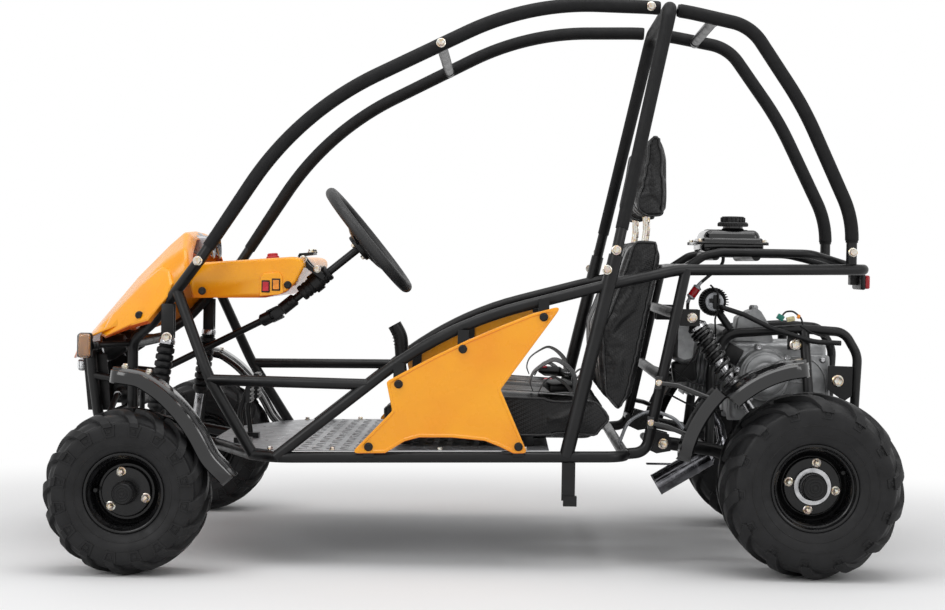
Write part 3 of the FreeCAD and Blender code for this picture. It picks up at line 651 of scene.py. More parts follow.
place_world()
place_floor()
soft_box("overhead_box", (0.1, -0.6, 3.4), 3.4, 2.2, 60)
soft_box("front_left_box", (-2.6, -3.0, 2.4), 1.6, 1.6, 34)
soft_box("rear_left_box", (2.9, -2.6, 1.9), 1.2, 1.6, 16)
bpy.context.scene.view_settings.view_transform = "Standard"
print("studio: 3 soft boxes")

# %% [markdown]
# ## Tools for shapes
# Nearly every piece here is one of four things: an outline turned about an axis, a bar along a bent line, a
# flat outline with thickness, or a block with rounded edges. Each function below returns points and faces, and
# a Kit gathers many of them into one mesh, as a fitter lays out the parts of one assembly.

# %% Shape tools
unmoved = Matrix.Identity(4)
mirror = Matrix.Diagonal((1, -1, 1, 1))


def lathe(outline, steps=72, closed=True):
    """An outline of (radius, height) points turned about the local Z line."""
    points = []
    faces = []
    count = len(outline)
    for i in range(steps):
        angle = 2 * math.pi * i / steps
        points += [(r * math.cos(angle), r * math.sin(angle), h) for r, h in outline]
        after = (i + 1) % steps
        for k in range(count if closed else count - 1):
            m = (k + 1) % count
            faces.append((i * count + k, after * count + k, after * count + m, i * count + m))
    return points, faces


def loft(loops, caps=True):
    """A skin over closed loops that all have the same number of points."""
    count = len(loops[0])
    points = [p for loop in loops for p in loop]
    faces = []
    for i in range(len(loops) - 1):
        for k in range(count):
            m = (k + 1) % count
            faces.append((i * count + k, i * count + m, (i + 1) * count + m, (i + 1) * count + k))
    if caps:
        faces.append(tuple(reversed(range(count))))
        faces.append(tuple((len(loops) - 1) * count + k for k in range(count)))
    return points, faces


def ring(sides, radius, height, turn=0.0):
    """Points round a circle at one height."""
    angles = [turn + 2 * math.pi * k / sides for k in range(sides)]
    return [(radius * math.cos(a), radius * math.sin(a), height) for a in angles]


def block(size, edge=0.002, rounds=2):
    """A block with rounded edges, about its own middle."""
    shape = bmesh.new()
    bmesh.ops.create_cube(shape, size=1.0)
    bmesh.ops.scale(shape, vec=size, verts=shape.verts)
    bmesh.ops.bevel(shape, geom=shape.edges[:], offset=edge, segments=rounds, profile=0.5, affect="EDGES")
    points = [tuple(v.co) for v in shape.verts]
    faces = [tuple(v.index for v in face.verts) for face in shape.faces]
    shape.free()
    return points, faces


def slab(outline, near, far):
    """An (x, z) outline made solid between two Y places."""
    count = len(outline)
    points = [(x, near, z) for x, z in outline] + [(x, far, z) for x, z in outline]
    faces = [tuple(range(count)), tuple(reversed(range(count, 2 * count)))]
    for k in range(count):
        m = (k + 1) % count
        faces.append((k, count + k, count + m, m))
    return points, faces


def bent(corners, bend=0.03, steps=8):
    """The line through the corners, each rounded. A bend is one radius, or one for each inner corner."""
    corners = [Vector(c) for c in corners]
    bends = bend if isinstance(bend, (list, tuple)) else [bend] * (len(corners) - 2)
    line = [corners[0]]
    for i in range(1, len(corners) - 1):
        into = corners[i] - corners[i - 1]
        out = corners[i + 1] - corners[i]
        room = 0.48 * min(into.length, out.length)
        into.normalize()
        out.normalize()
        turn = into.angle(out)
        if turn < 0.01:
            line.append(corners[i])
            continue
        reach = min(bends[i - 1] * math.tan(turn / 2), room)
        start = corners[i] - into * reach
        axis = into.cross(out).normalized()
        centre = start + axis.cross(into) * (reach / math.tan(turn / 2))
        for k in range(steps + 1):
            line.append(centre + Matrix.Rotation(turn * k / steps, 3, axis) @ (start - centre))
    line.append(corners[-1])
    return line


def lengths(line):
    """How far along the line each of its points is."""
    far = [0.0]
    for a, b in zip(line, line[1:]):
        far.append(far[-1] + (Vector(b) - Vector(a)).length)
    return far


def trimmed(line, head, tail):
    """The line without this much of its start and of its end."""
    far = lengths(line)
    stops = [head] + [f for f in far if head < f < far[-1] - tail] + [far[-1] - tail]
    kept = []
    for stop in stops:
        i = max(k for k in range(len(far) - 1) if far[k] <= stop)
        share = (stop - far[i]) / max(1e-9, far[i + 1] - far[i])
        kept.append(Vector(line[i]).lerp(Vector(line[i + 1]), share))
    return kept


def frames(line, closed=False):
    """A placement at each point of the line, its Z along the line, turning as little as it can."""
    count = len(line)
    line = [Vector(p) for p in line]
    tangents = []
    for i in range(count):
        before = line[i - 1] if i or closed else line[0]
        after = line[(i + 1) % count] if i < count - 1 or closed else line[-1]
        tangents.append((after - before).normalized())
    side = tangents[0].orthogonal().normalized()
    placed = []
    for i in range(count):
        if i:
            side = tangents[i - 1].rotation_difference(tangents[i]) @ side
        side = (side - tangents[i] * side.dot(tangents[i])).normalized()
        up = tangents[i].cross(side)
        placed.append(Matrix((side, up, tangents[i])).transposed().to_4x4())
        placed[-1].translation = line[i]
    return placed


def bar(line, radius, sides=16, closed=False):
    """A round bar along a line. The radius may be a function of the distance along it."""
    far = lengths(line)
    loops = []
    for place, along in zip(frames(line, closed), far):
        wide = radius(along) if callable(radius) else radius
        loops.append([place @ Vector(p) for p in ring(sides, wide, 0.0)])
    if closed:
        loops.append(loops[0])
    return loft(loops, caps=not closed)


def facing(at, towards, roll=0.0):
    """A placement whose local Z line points the given way."""
    turn = Vector(towards).normalized().to_track_quat("Z", "Y").to_matrix().to_4x4()
    return Matrix.Translation(at) @ turn @ Matrix.Rotation(roll, 4, "Z")


class Kit:
    """Gathers shapes into one mesh."""

    def __init__(self):
        self.points = []
        self.faces = []

    def add(self, shape, place=unmoved):
        first = len(self.points)
        self.points += [place @ Vector(p) for p in shape[0]]
        self.faces += [tuple(first + k for k in face) for face in shape[1]]
        return self

    def both(self, shape, place=unmoved):
        self.add(shape, place)
        return self.add(shape, mirror @ place)


def settle(piece, finish, body, slot=None, smooth=38.0, stands_for=()):
    """Cleans a piece's mesh, gives it its finish and fixes it to a body of the kart."""
    shape = bmesh.new()
    shape.from_mesh(piece.data)
    bmesh.ops.remove_doubles(shape, verts=shape.verts, dist=2e-6)
    bmesh.ops.dissolve_degenerate(shape, edges=shape.edges, dist=1e-6)
    bmesh.ops.recalc_face_normals(shape, faces=shape.faces)
    shape.to_mesh(piece.data)
    shape.free()
    piece.data.shade_smooth()
    if smooth < 180:
        piece.data.set_sharp_from_angle(angle=math.radians(smooth))
    if not piece.data.materials:
        piece.data.materials.append(finish)
    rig.ride(piece, body)
    if slot:
        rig.slot(piece, slot)
    if stands_for:
        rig.replaces(piece, *stands_for)
    return piece


def make(name, shape, finish, body="chassis", slot=None, smooth=38.0, stands_for=(), round_edges=0.0):
    """A piece from a Kit or from points and faces."""
    if isinstance(shape, Kit):
        shape = (shape.points, shape.faces)
    mesh = bpy.data.meshes.new(name)
    mesh.from_pydata([tuple(p) for p in shape[0]], [], shape[1])
    piece = bpy.data.objects.new(name, mesh)
    bpy.context.scene.collection.objects.link(piece)
    settle(piece, finish, body, slot, smooth, stands_for)
    if round_edges:
        soften(piece, round_edges)
    return piece


def soften(piece, width, rounds=2, angle=32.0):
    """Rounds a piece's sharp edges."""
    modifier = piece.modifiers.new("round_edges", "BEVEL")
    modifier.width = width
    modifier.segments = rounds
    modifier.limit_method = "ANGLE"
    modifier.angle_limit = math.radians(angle)
    modifier.harden_normals = True
    return piece


def twin(piece, name, body, stands_for=(), slot=None):
    """The same piece on the other side of the kart."""
    mesh = piece.data.copy()
    mesh.transform(mirror)
    mesh.flip_normals()
    other = bpy.data.objects.new(name, mesh)
    bpy.context.scene.collection.objects.link(other)
    for modifier in piece.modifiers:
        copy = other.modifiers.new(modifier.name, modifier.type)
        for setting in ("width", "segments", "limit_method", "angle_limit", "harden_normals", "levels",
                        "render_levels", "thickness", "offset"):
            if hasattr(modifier, setting):
                setattr(copy, setting, getattr(modifier, setting))
    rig.ride(other, body)
    if slot or "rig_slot" in piece:
        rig.slot(other, slot or piece["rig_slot"])
    if stands_for:
        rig.replaces(other, *stands_for)
    return other


print("shape tools ready")

# %% [markdown]
# ## Bolts
# The kart is held together with flanged hexagon bolts. A bolt head is a washer-like flange, six flats and a
# chamfered crown. They are all made by one function of the spanner size and gathered into one piece for each
# body and each finish.

# %% Bolt heads


def bolt(spanner, sides=6):
    """A flanged bolt head sitting on the local XY plane, for this spanner size."""
    corner = spanner / math.sqrt(3)
    kit = Kit()
    kit.add(lathe([(0, -0.001), (spanner * 0.72, -0.001), (spanner * 0.72, spanner * 0.1),
                   (spanner * 0.6, spanner * 0.17), (0, spanner * 0.17)], 24))
    levels = [(corner, spanner * 0.1), (corner, spanner * 0.5), (corner * 0.86, spanner * 0.6),
              (corner * 0.5, spanner * 0.56)]
    kit.add(loft([ring(sides, r, h) for r, h in levels]))
    return kit.points, kit.faces


def nut_on_stud(spanner):
    """A nut with the threaded end of its stud standing out of it."""
    kit = Kit()
    kit.add(bolt(spanner))
    thread = [(0, 0)]
    for turn in range(7):
        thread += [(spanner * 0.26, spanner * (0.5 + turn * 0.07)), (spanner * 0.3, spanner * (0.535 + turn * 0.07))]
    thread += [(spanner * 0.24, spanner), (0, spanner)]
    kit.add(lathe(thread, 16))
    return kit.points, kit.faces


def fit_bolts(name, places, spanner, finish, body="chassis", shape=bolt):
    """One piece of many bolts, each given by its place and the way it faces."""
    kit = Kit()
    for number, (at, towards) in enumerate(places):
        kit.add(shape(spanner), facing(at, towards, roll=number * 0.7))
    return make(name, kit, finish, body, smooth=30)


print("one 13 mm bolt head:", len(bolt(0.013)[0]), "points")

# %% [markdown]
# ## Tyres
# Each tyre is a smooth carcass with sixteen or fourteen curved bars a side, which sweep from the middle of the
# tread over the shoulder, and a square block with a sunk ring under the end of every bar. The section is laid
# out once as a line, and the bars and blocks are measured along that line and round the wheel, so they follow
# every curve of the carcass.

# %% Tyre section


def smooth_line(marks, steps=6):
    """A smooth line through the marks, as a bent batten would lie."""
    marks = [np.array(m, float) for m in marks]
    ends = [2 * marks[0] - marks[1]] + marks + [2 * marks[-1] - marks[-2]]
    line = []
    for a, b, c, d in zip(ends, ends[1:], ends[2:], ends[3:]):
        for k in range(steps):
            t = k / steps
            line.append(0.5 * (2 * b + (c - a) * t + (2 * a - 5 * b + 4 * c - d) * t ** 2
                               + (3 * b - a - 3 * c + d) * t ** 3))
    line.append(marks[-1])
    return line


class Section:
    """Half of a tyre's outer section, measured along its surface from the middle of the tread."""

    def __init__(self, radius, width, rim, tread):
        half = width / 2
        wall = radius - rim
        base = radius - tread
        marks = [(0, base), (half * 0.4, base - 0.0005), (half * 0.68, base - 0.004), (half * 0.86, base - 0.014),
                 (half * 0.965, rim + wall * 0.7), (half - 0.0005, rim + wall * 0.5), (half - 0.003, rim + wall * 0.3),
                 (half - 0.010, rim + wall * 0.12), (half - 0.015, rim + 0.003), (half - 0.02, rim + 0.0005)]
        self.line = smooth_line(marks)
        steps = [np.linalg.norm(b - a) for a, b in zip(self.line, self.line[1:])]
        self.far = np.concatenate([[0], np.cumsum(steps)])

    def at(self, along):
        """Across, radius and the outward direction at this distance along the section."""
        line = np.array(self.line)
        spot = [np.interp(along, self.far, line[:, k]) for k in (0, 1)]
        ahead = [np.interp(along + 0.001, self.far, line[:, k]) for k in (0, 1)]
        behind = [np.interp(along - 0.001, self.far, line[:, k]) for k in (0, 1)]
        way = np.array(ahead) - np.array(behind)
        way /= np.linalg.norm(way)
        return spot[0], spot[1], -way[1], way[0]

    def skin(self, along, angle, lift, side):
        """A point this far above the carcass, on one side of the tread."""
        across, radius, out_across, out_radius = self.at(along)
        r = radius + out_radius * lift
        return (r * math.cos(angle), r * math.sin(angle), side * (across + out_across * lift))

    def distance_to(self, radius):
        """How far along the sidewall this radius is met."""
        line = np.array(self.line)
        start = int(np.argmax(line[:, 0]) * 0.5)
        return float(np.interp(-radius, -line[start:, 1], self.far[start:]))


def tread_bar(section, side, angle, lead, half_turn, tread, reach):
    """One curved bar, from the middle of the tread to its tip on the shoulder."""
    loops = []
    rows = 13
    for i in range(rows):
        share = i / (rows - 1)
        along = 0.003 + (reach - 0.003) * share
        middle = angle + lead * (1 - share) ** 1.25
        wide = half_turn * (1.0 - 0.18 * share)
        high = tread * (1 - 0.45 * max(0.0, share - 0.72) / 0.28)
        corners = [(-1.25, -0.001), (-1.0, high * 0.9), (-0.9, high), (0.9, high), (1.0, high * 0.9), (1.25, -0.001)]
        loops.append([section.skin(along, middle + wide * w, h, side) for w, h in corners])
    return loft(loops)


def diamond_block(section, side, angle, along, size):
    """A square block on the sidewall with a sunk ring and a raised middle."""
    steps = [(0.56, -0.001), (0.5, 0.0026), (0.36, 0.0026), (0.32, 0.0008), (0.18, 0.0008), (0.14, 0.0022)]
    loops = []
    _, radius, _, _ = section.at(along)
    for share, lift in steps:
        loop = []
        for u, v in ((-1, -1), (1, -1), (1, 1), (-1, 1)):
            narrow = 1.0 - 0.14 * v
            loop.append(section.skin(along + v * size * share, angle + u * size * share * narrow / radius, lift, side))
        loops.append(loop)
    return loft(loops)


def bead_ridge(section, along, side):
    """A thin moulded ring round the sidewall."""
    outline = []
    for step, lift in ((-0.0016, -0.0005), (-0.0008, 0.0009), (0.0008, 0.0009), (0.0016, -0.0005)):
        x, _, z = section.skin(along + step, 0.0, lift, side)
        outline.append((x, z))
    return lathe(outline, 96)


def tyre(radius, width, rim, tread, bars, first_angle, block_radius):
    """A whole tyre about its own axle, its outer face towards +Z."""
    section = Section(radius, width, rim, tread)
    kit = Kit()
    outline = [(r, a) for a, r in section.line] + [(rim - 0.002, section.line[-1][0])]
    kit.add(lathe(list(reversed([(r, -a) for r, a in outline])) + outline[1:], 120))
    pitch = 2 * math.pi / bars
    shoulder = section.distance_to(radius - tread - 0.024)
    block_at = section.distance_to(block_radius)
    for side in (1, -1):
        offset = 0 if side > 0 else pitch / 2
        for i in range(bars):
            angle = first_angle + offset + i * pitch
            kit.add(tread_bar(section, side, angle, pitch * 1.05, pitch * 0.19, tread, shoulder))
            kit.add(diamond_block(section, side, angle, block_at, 0.023))
        for height in (0.4, 0.2):
            kit.add(bead_ridge(section, section.distance_to(rim + (radius - rim) * height), side))
    return kit


front_hub = Vector((-0.728, -0.520, 0.1775))
rear_hub = Vector((0.763, -0.410, 0.203))
left = Vector((0, -1, 0))
front_shape = tyre(0.1775, 0.145, 0.086, 0.009, 16, math.radians(80.2), 0.136)
rear_shape = tyre(0.203, 0.200, 0.096, 0.010, 14, math.radians(82.3), 0.167)


def placed(kit, place):
    """A Kit moved to its place."""
    moved = Kit()
    return moved.add((kit.points, kit.faces), place)


left_tyre = make("left_front_tyre_rubber", placed(front_shape, facing(front_hub, left)), rubber,
                 "left_front_wheel", "tyre_rubber", 30, ["left_front_tyre"])
twin(left_tyre, "right_front_tyre_rubber", "right_front_wheel", ["right_front_tyre"])
rear_pair = placed(rear_shape, facing(rear_hub, left))
rear_pair.add((rear_pair.points, rear_pair.faces), mirror)
make("rear_tyres_rubber", rear_pair, rubber, "rear_axle", "tyre_rubber", 30, ["rear_tyres"])
print("tyres: front", len(front_shape.faces), "faces, rear", len(rear_shape.faces))

# %% [markdown]
# ## Rims
# The rims are pressed steel. From outside you see a rolled lip, a stepped wall, a deep groove and a flat
# centre disc with zinc-plated nuts. A long ribbed cap covers the hub. The rear cap stands in a bright ring.
# All of it is turned on a lathe, so each outline is given once as (radius, height) in metres.

# %% Front and rear rims


def hub_cap(radius, foot, face, ribs=30):
    """A ribbed plastic cap with rings on its face."""
    kit = Kit()
    crown = [(0, foot), (radius, foot), (radius, face - 0.012), (radius - 0.0015, face - 0.010),
             (radius - 0.0015, face - 0.003), (radius - 0.004, face)]
    for share in (0.7, 0.45, 0.22):
        r = radius * share
        crown += [(r + 0.002, face), (r + 0.001, face - 0.0012), (r - 0.001, face - 0.0012), (r - 0.002, face)]
    kit.add(lathe(crown + [(0, face)], 64, closed=False))
    rib = block((0.0016, 0.0026, face - foot - 0.016), 0.0004, 1)
    for k in range(ribs):
        turn = Matrix.Rotation(2 * math.pi * k / ribs, 4, "Z")
        kit.add(rib, turn @ Matrix.Translation((radius, 0, (foot + face - 0.014) / 2)))
    return kit


def valve(radius, angle, foot):
    """The rubber valve stem with its cap."""
    at = Matrix.Translation((radius * math.cos(angle), radius * math.sin(angle), foot))
    outline = [(0, 0), (0.0062, 0), (0.0055, 0.006), (0.0042, 0.010), (0.0042, 0.018), (0.005, 0.019),
               (0.005, 0.028), (0.0042, 0.029), (0, 0.029)]
    return (lathe(outline, 20, closed=False), at)


def studs(count, circle, first, face):
    """Places of the wheel nuts, about the wheel's own axle."""
    angles = [first + 2 * math.pi * k / count for k in range(count)]
    return [(circle * math.cos(a), circle * math.sin(a), face) for a in angles]


front_rim_outline = [
    (0.086, 0.0575), (0.0835, 0.058), (0.0805, 0.0565), (0.079, 0.0525), (0.0765, 0.0485), (0.0745, 0.047),
    (0.0725, 0.044), (0.0715, 0.022), (0.069, 0.014), (0.066, 0.0115), (0.059, 0.0115), (0.0555, 0.015),
    (0.054, 0.026), (0.052, 0.0295), (0.049, 0.030), (0.026, 0.030), (0.026, 0.034), (0.0102, 0.034),
    (0.0102, -0.038), (0.024, -0.038), (0.024, 0.020), (0.060, 0.020), (0.072, 0.008), (0.0745, -0.045),
    (0.081, -0.058), (0.086, -0.058), (0.086, -0.050), (0.077, -0.042), (0.077, 0.042), (0.086, 0.050)]
rear_rim_outline = [
    (0.096, 0.0835), (0.0935, 0.084), (0.0905, 0.0825), (0.089, 0.079), (0.0865, 0.074), (0.0835, 0.072),
    (0.0815, 0.068), (0.0805, 0.036), (0.078, 0.026), (0.0745, 0.023), (0.068, 0.023), (0.065, 0.027),
    (0.0635, 0.036), (0.0615, 0.0395), (0.058, 0.040), (0.032, 0.040), (0.032, 0.046), (0.0155, 0.046),
    (0.0155, -0.040), (0.034, -0.040), (0.034, 0.030), (0.066, 0.030), (0.081, 0.018), (0.082, -0.070),
    (0.091, -0.084), (0.096, -0.084), (0.096, -0.076), (0.087, -0.068), (0.087, 0.068), (0.096, 0.076)]
front_nuts = studs(3, 0.0446, math.radians(104), 0.030)
rear_nuts = studs(4, 0.053, math.radians(80), 0.040)


def dress_wheel(kits, hub, outline, nuts, cap, stem):
    """Adds one wheel's rim, cap, valve and nuts to the kits, at its hub."""
    place = facing(hub, left)
    kits["rim"].add(lathe(outline, 108), place)
    kits["cap"].add((cap.points, cap.faces), place)
    kits["cap"].add(stem[0], place @ stem[1])
    for nut in nuts:
        kits["nuts"].add(nut_on_stud(0.0145), place @ Matrix.Translation(nut))


front_kits = {"rim": Kit(), "cap": Kit(), "nuts": Kit()}
dress_wheel(front_kits, front_hub, front_rim_outline, front_nuts, hub_cap(0.0245, 0.030, 0.072),
            valve(0.0635, math.radians(177), 0.012))
for part, finish, slot, covers in (("rim", rim_paint, "rim_black", ["left_front_rim"]),
                                   ("cap", plastic, "plastic_black", []), ("nuts", zinc, "bright_steel", [])):
    piece = make("left_front_" + part + "_turned", front_kits[part], finish, "left_front_wheel", slot, 30, covers)
    if part == "rim":
        soften(piece, 0.0008, 2, 25)
    twin(piece, "right_front_" + part + "_turned", "right_front_wheel", [c.replace("left", "right") for c in covers])

rear_kits = {"rim": Kit(), "cap": Kit(), "nuts": Kit(), "ring": Kit()}
dress_wheel(rear_kits, rear_hub, rear_rim_outline, rear_nuts, hub_cap(0.0285, 0.046, 0.083, 34),
            valve(0.0735, math.radians(26), 0.023))
rear_kits["ring"].add(lathe([(0.030, 0.040), (0.042, 0.040), (0.042, 0.0455), (0.0405, 0.047), (0.031, 0.047),
                             (0.030, 0.046)], 96), facing(rear_hub, left))
for part, finish, slot, covers in (("rim", rim_paint, "rim_black", ["rear_rims"]), ("cap", plastic, "plastic_black", []),
                                   ("nuts", zinc, "bright_steel", []), ("ring", steel, "bright_steel", [])):
    pair = rear_kits[part]
    pair.add((list(pair.points), list(pair.faces)), mirror)
    piece = make("rear_" + part + "_turned", pair, finish, "rear_axle", slot, 30, covers)
    if part == "rim":
        soften(piece, 0.0008, 2, 25)
print("rims, caps, valves and", 2 * (len(front_nuts) + len(rear_nuts)), "wheel nuts")

# %% [markdown]
# ## The nose
# The nose is one moulded skin with folded facets. Its corner points are laid out on one half and mirrored.
# A wide bevel rounds the folds as a mould does, and a Solidify modifier gives the skin its 3 mm thickness. A
# raised pod is bolted to each side: an outline that stands about a centimetre proud of the side facet.

# %% Nose skin and side pods
nose_half = [
    [(-0.965, 0, 0.436), (-0.947, 0.110, 0.440), (-0.919, 0.190, 0.468), (-0.872, 0.255, 0.500)],
    [(-0.908, 0, 0.514), (-0.898, 0.120, 0.508), (-0.872, 0.208, 0.512), (-0.836, 0.263, 0.516)],
    [(-0.800, 0, 0.642), (-0.794, 0.128, 0.634), (-0.776, 0.218, 0.612), (-0.764, 0.269, 0.540)],
    [(-0.722, 0, 0.720), (-0.718, 0.135, 0.712), (-0.712, 0.228, 0.676), (-0.706, 0.279, 0.592)],
    [(-0.680, 0, 0.751), (-0.679, 0.138, 0.747), (-0.664, 0.234, 0.706), (-0.648, 0.285, 0.652)],
    [(-0.656, 0, 0.730), (-0.655, 0.132, 0.726), (-0.650, 0.214, 0.690), (-0.640, 0.262, 0.646)],
]


def grid_skin(rows):
    """Quads over rows of points."""
    wide = len(rows[0])
    points = [p for row in rows for p in row]
    faces = []
    for i in range(len(rows) - 1):
        for k in range(wide - 1):
            faces.append((i * wide + k, i * wide + k + 1, (i + 1) * wide + k + 1, (i + 1) * wide + k))
    return points, faces


def thicken(piece, thickness, side=-1.0):
    modifier = piece.modifiers.new("thickness", "SOLIDIFY")
    modifier.thickness = thickness
    modifier.offset = side
    return piece


nose_rows = [[(x, -y, z) for x, y, z in reversed(row)] + row[1:] for row in nose_half]
nose = make("nose_skin", grid_skin(nose_rows), yellow, "chassis", "body_yellow", 180, ["nose_cowl"])
soften(nose, 0.010, 4, 9)
thicken(nose, 0.003)

pod_outline = [(-0.715, 0.664), (-0.694, 0.654), (-0.681, 0.624), (-0.688, 0.594), (-0.733, 0.534), (-0.778, 0.521),
               (-0.842, 0.495), (-0.856, 0.502), (-0.838, 0.543), (-0.763, 0.627)]
facet = np.array([row[k] for row in nose_half[1:5] for k in (2, 3)])
fit, *_ = np.linalg.lstsq(np.c_[np.ones(len(facet)), facet[:, 0], facet[:, 2]], facet[:, 1], rcond=None)
pod_middle = np.mean(pod_outline, axis=0)


def pod_point(x, z, inset, proud):
    """A point on the pod, drawn in towards its middle and standing proud of the side facet."""
    away = np.array((x, z)) - pod_middle
    x, z = pod_middle + away * (1 - inset / np.linalg.norm(away))
    return (x, -(fit[0] + fit[1] * x + fit[2] * z + proud), z)


pod_steps = [(-0.004, -0.014), (0.0, -0.002), (0.004, 0.006), (0.009, 0.010), (0.013, 0.011)]
pod_kit = Kit()
pod_kit.both(loft([[pod_point(x, z, inset, proud) for x, z in pod_outline] for inset, proud in pod_steps]))
pods = make("nose_side_pods", pod_kit, yellow, "chassis", "body_yellow", 60)
soften(pods, 0.004, 3, 14)
pod_bolt = Vector(pod_point(-0.758, 0.549, 0.0, 0.0125))
fit_bolts("pod_bolts", [(pod_bolt, left), (mirror @ pod_bolt, -left)], 0.013, plastic)
print("nose: pods stand at Y", round(pod_bolt.y, 3))

# %% [markdown]
# ## The dash
# The dash is a moulded cover, open underneath, with a flat plate on each side. On the left plate is a raised
# pad with a red and an amber rocker switch. It is folded from a strip and two end plates, thickened inwards.

# %% Dash, switches and gauge housing
dash_line = [(-0.640, 0.591), (-0.649, 0.640), (-0.640, 0.662), (-0.622, 0.672), (-0.405, 0.6895), (-0.386, 0.684),
             (-0.3815, 0.668), (-0.402, 0.628), (-0.424, 0.606), (-0.470, 0.594)]
dash_half = 0.2855


def dash_shell():
    """The strip over the top and ends, and the two side plates."""
    count = len(dash_line)
    points = [(x, -dash_half, z) for x, z in dash_line] + [(x, dash_half, z) for x, z in dash_line]
    faces = [(k, k + 1, count + k + 1, count + k) for k in range(count - 1)]
    faces += [tuple(reversed(range(count))), tuple(range(count, 2 * count))]
    return points, faces


dash = make("dash_shell", dash_shell(), yellow, "chassis", "body_yellow", 180, ["dash_console"])
soften(dash, 0.008, 4, 14)
thicken(dash, 0.003)

pad_outline = [(-0.483, 0.597), (-0.482, 0.640), (-0.475, 0.650), (-0.440, 0.653), (-0.432, 0.645), (-0.428, 0.606),
               (-0.440, 0.601)]
pad = make("switch_pad", slab(pad_outline, -dash_half - 0.0035, -dash_half + 0.002), yellow, "chassis",
           "body_yellow", 40)
soften(pad, 0.0022, 3)


def rocker(name, x, z, finish):
    """A rocker switch in its dark frame."""
    face = -dash_half - 0.0035
    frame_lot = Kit()
    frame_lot.add(block((0.019, 0.003, 0.028), 0.001), Matrix.Translation((x, face - 0.0005, z)))
    make(name + "_frame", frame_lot, plastic, "chassis", "plastic_black", 30)
    outline = [(-0.0105, 0.0), (-0.0105, 0.006), (-0.003, 0.0035), (0.0, 0.003), (0.003, 0.0035), (0.0105, 0.0045),
               (0.0105, 0.0)]
    profile = [[(x + side * 0.0068, face - out, z + up) for up, out in outline] for side in (-1, 1)]
    make(name, loft(profile), finish, "chassis", "lamp_red", 30, round_edges=0.0007)


rocker("red_rocker", -0.469, 0.620, red_plastic)
rocker("amber_rocker", -0.4455, 0.6245, amber_plastic)
dash_bolts = [(-0.615, 0.607), (-0.419, 0.624)]
dash_places = [((x, s * (dash_half + 0.0005), z), (0, s, 0)) for x, z in dash_bolts for s in (-1, 1)]
fit_bolts("dash_bolts", dash_places, 0.0125, plastic)

button = Kit()
button.add(lathe([(0, 0), (0.015, 0), (0.015, 0.004), (0.0125, 0.006), (0.0125, 0.010), (0.010, 0.012), (0, 0.0125)],
                 32, closed=False), facing((-0.465, -0.20, 0.6845), (-0.08, 0, 1)))
make("stop_button", button, red_plastic, "chassis", "lamp_red", 30)

gauge = Kit()
gauge.add(block((0.040, 0.176, 0.046), 0.012, 4), Matrix.Translation((-0.655, 0, 0.714)))
gauge.add(block((0.024, 0.058, 0.044), 0.009, 4), Matrix.Translation((-0.676, 0, 0.722)))
make("gauge_housing", gauge, bezel, "chassis", "bezel_grey", 40, ["gauge_bezel"])
dial = Kit()
for y in (-0.048, 0.048):
    outline = [(0, 0), (0.024, 0), (0.030, 0.0), (0.033, 0.004), (0.030, 0.006), (0.027, 0.003), (0.026, 0.0015),
               (0, 0.0015)]
    dial.add(lathe(outline, 48, closed=False), facing((-0.6345, y, 0.714), (1, 0, 0.1)))
make("gauge_rings", dial, chrome, "chassis", "bezel_grey", 30)
print("dash: 2 rockers, 1 button, 2 dials")

# %% [markdown]
# ## Side panels
# A plastic shield is bolted outside the rails on each side. It is a flat sheet cut to shape, with rounded
# corners and a bead moulded round its edge to stiffen it.

# %% Side panels and their bolts
panel_face = -0.4328
panel_outline = [(-0.180, 0.416), (-0.120, 0.450), (-0.070, 0.477), (0.000, 0.512), (0.075, 0.545), (0.140, 0.572),
                 (0.2075, 0.5915), (0.073, 0.403), (0.135, 0.263), (0.104, 0.262), (0.072, 0.277),
                 (0.040, 0.289), (-0.032, 0.295), (-0.105, 0.294), (-0.137, 0.285), (-0.180, 0.258),
                 (-0.256, 0.256), (-0.172, 0.345), (-0.166, 0.352)]


def round_corners(outline, radius, steps=5):
    """The closed (x, z) outline with each of its corners turned into a small arc."""
    rounded = []
    count = len(outline)
    for i in range(count):
        before, here, after = (Vector((*outline[(i + k) % count], 0)) for k in (-1, 0, 1))
        into = (here - before).normalized()
        out = (after - here).normalized()
        turn = max(0.02, into.angle(out))
        reach = min(radius * math.tan(turn / 2), 0.4 * (here - before).length, 0.4 * (after - here).length)
        start = here - into * reach
        end = here + out * reach
        for k in range(steps + 1):
            t = k / steps
            point = start.lerp(here, t).lerp(here.lerp(end, t), t)
            rounded.append((point.x, point.y))
    return rounded


def inset(outline, distance):
    """The closed (x, z) outline drawn inwards by a distance."""
    area = sum(a[0] * b[1] - b[0] * a[1] for a, b in zip(outline, outline[1:] + outline[:1]))
    side = 1 if area > 0 else -1
    drawn = []
    for before, here, after in zip(outline[-1:] + outline[:-1], outline, outline[1:] + outline[:1]):
        coming = Vector((here[0] - before[0], here[1] - before[1])).normalized()
        going = Vector((after[0] - here[0], after[1] - here[1])).normalized()
        share = side * distance / max(0.15, 1 + coming.dot(going))
        drawn.append((here[0] - share * (coming.y + going.y), here[1] + share * (coming.x + going.x)))
    return drawn


def shield():
    """The sheet: flat inside, with a raised bead just within its edge outside."""
    steps = [(0.0, -0.0042), (0.0, -0.0006), (0.0015, 0.0004), (0.0055, 0.0006), (0.0075, -0.0010), (0.010, -0.0012)]
    loops = [[(x, panel_face - out, z) for x, z in round_corners(inset(panel_outline, draw), 0.008)]
             for draw, out in steps]
    return loft(loops)


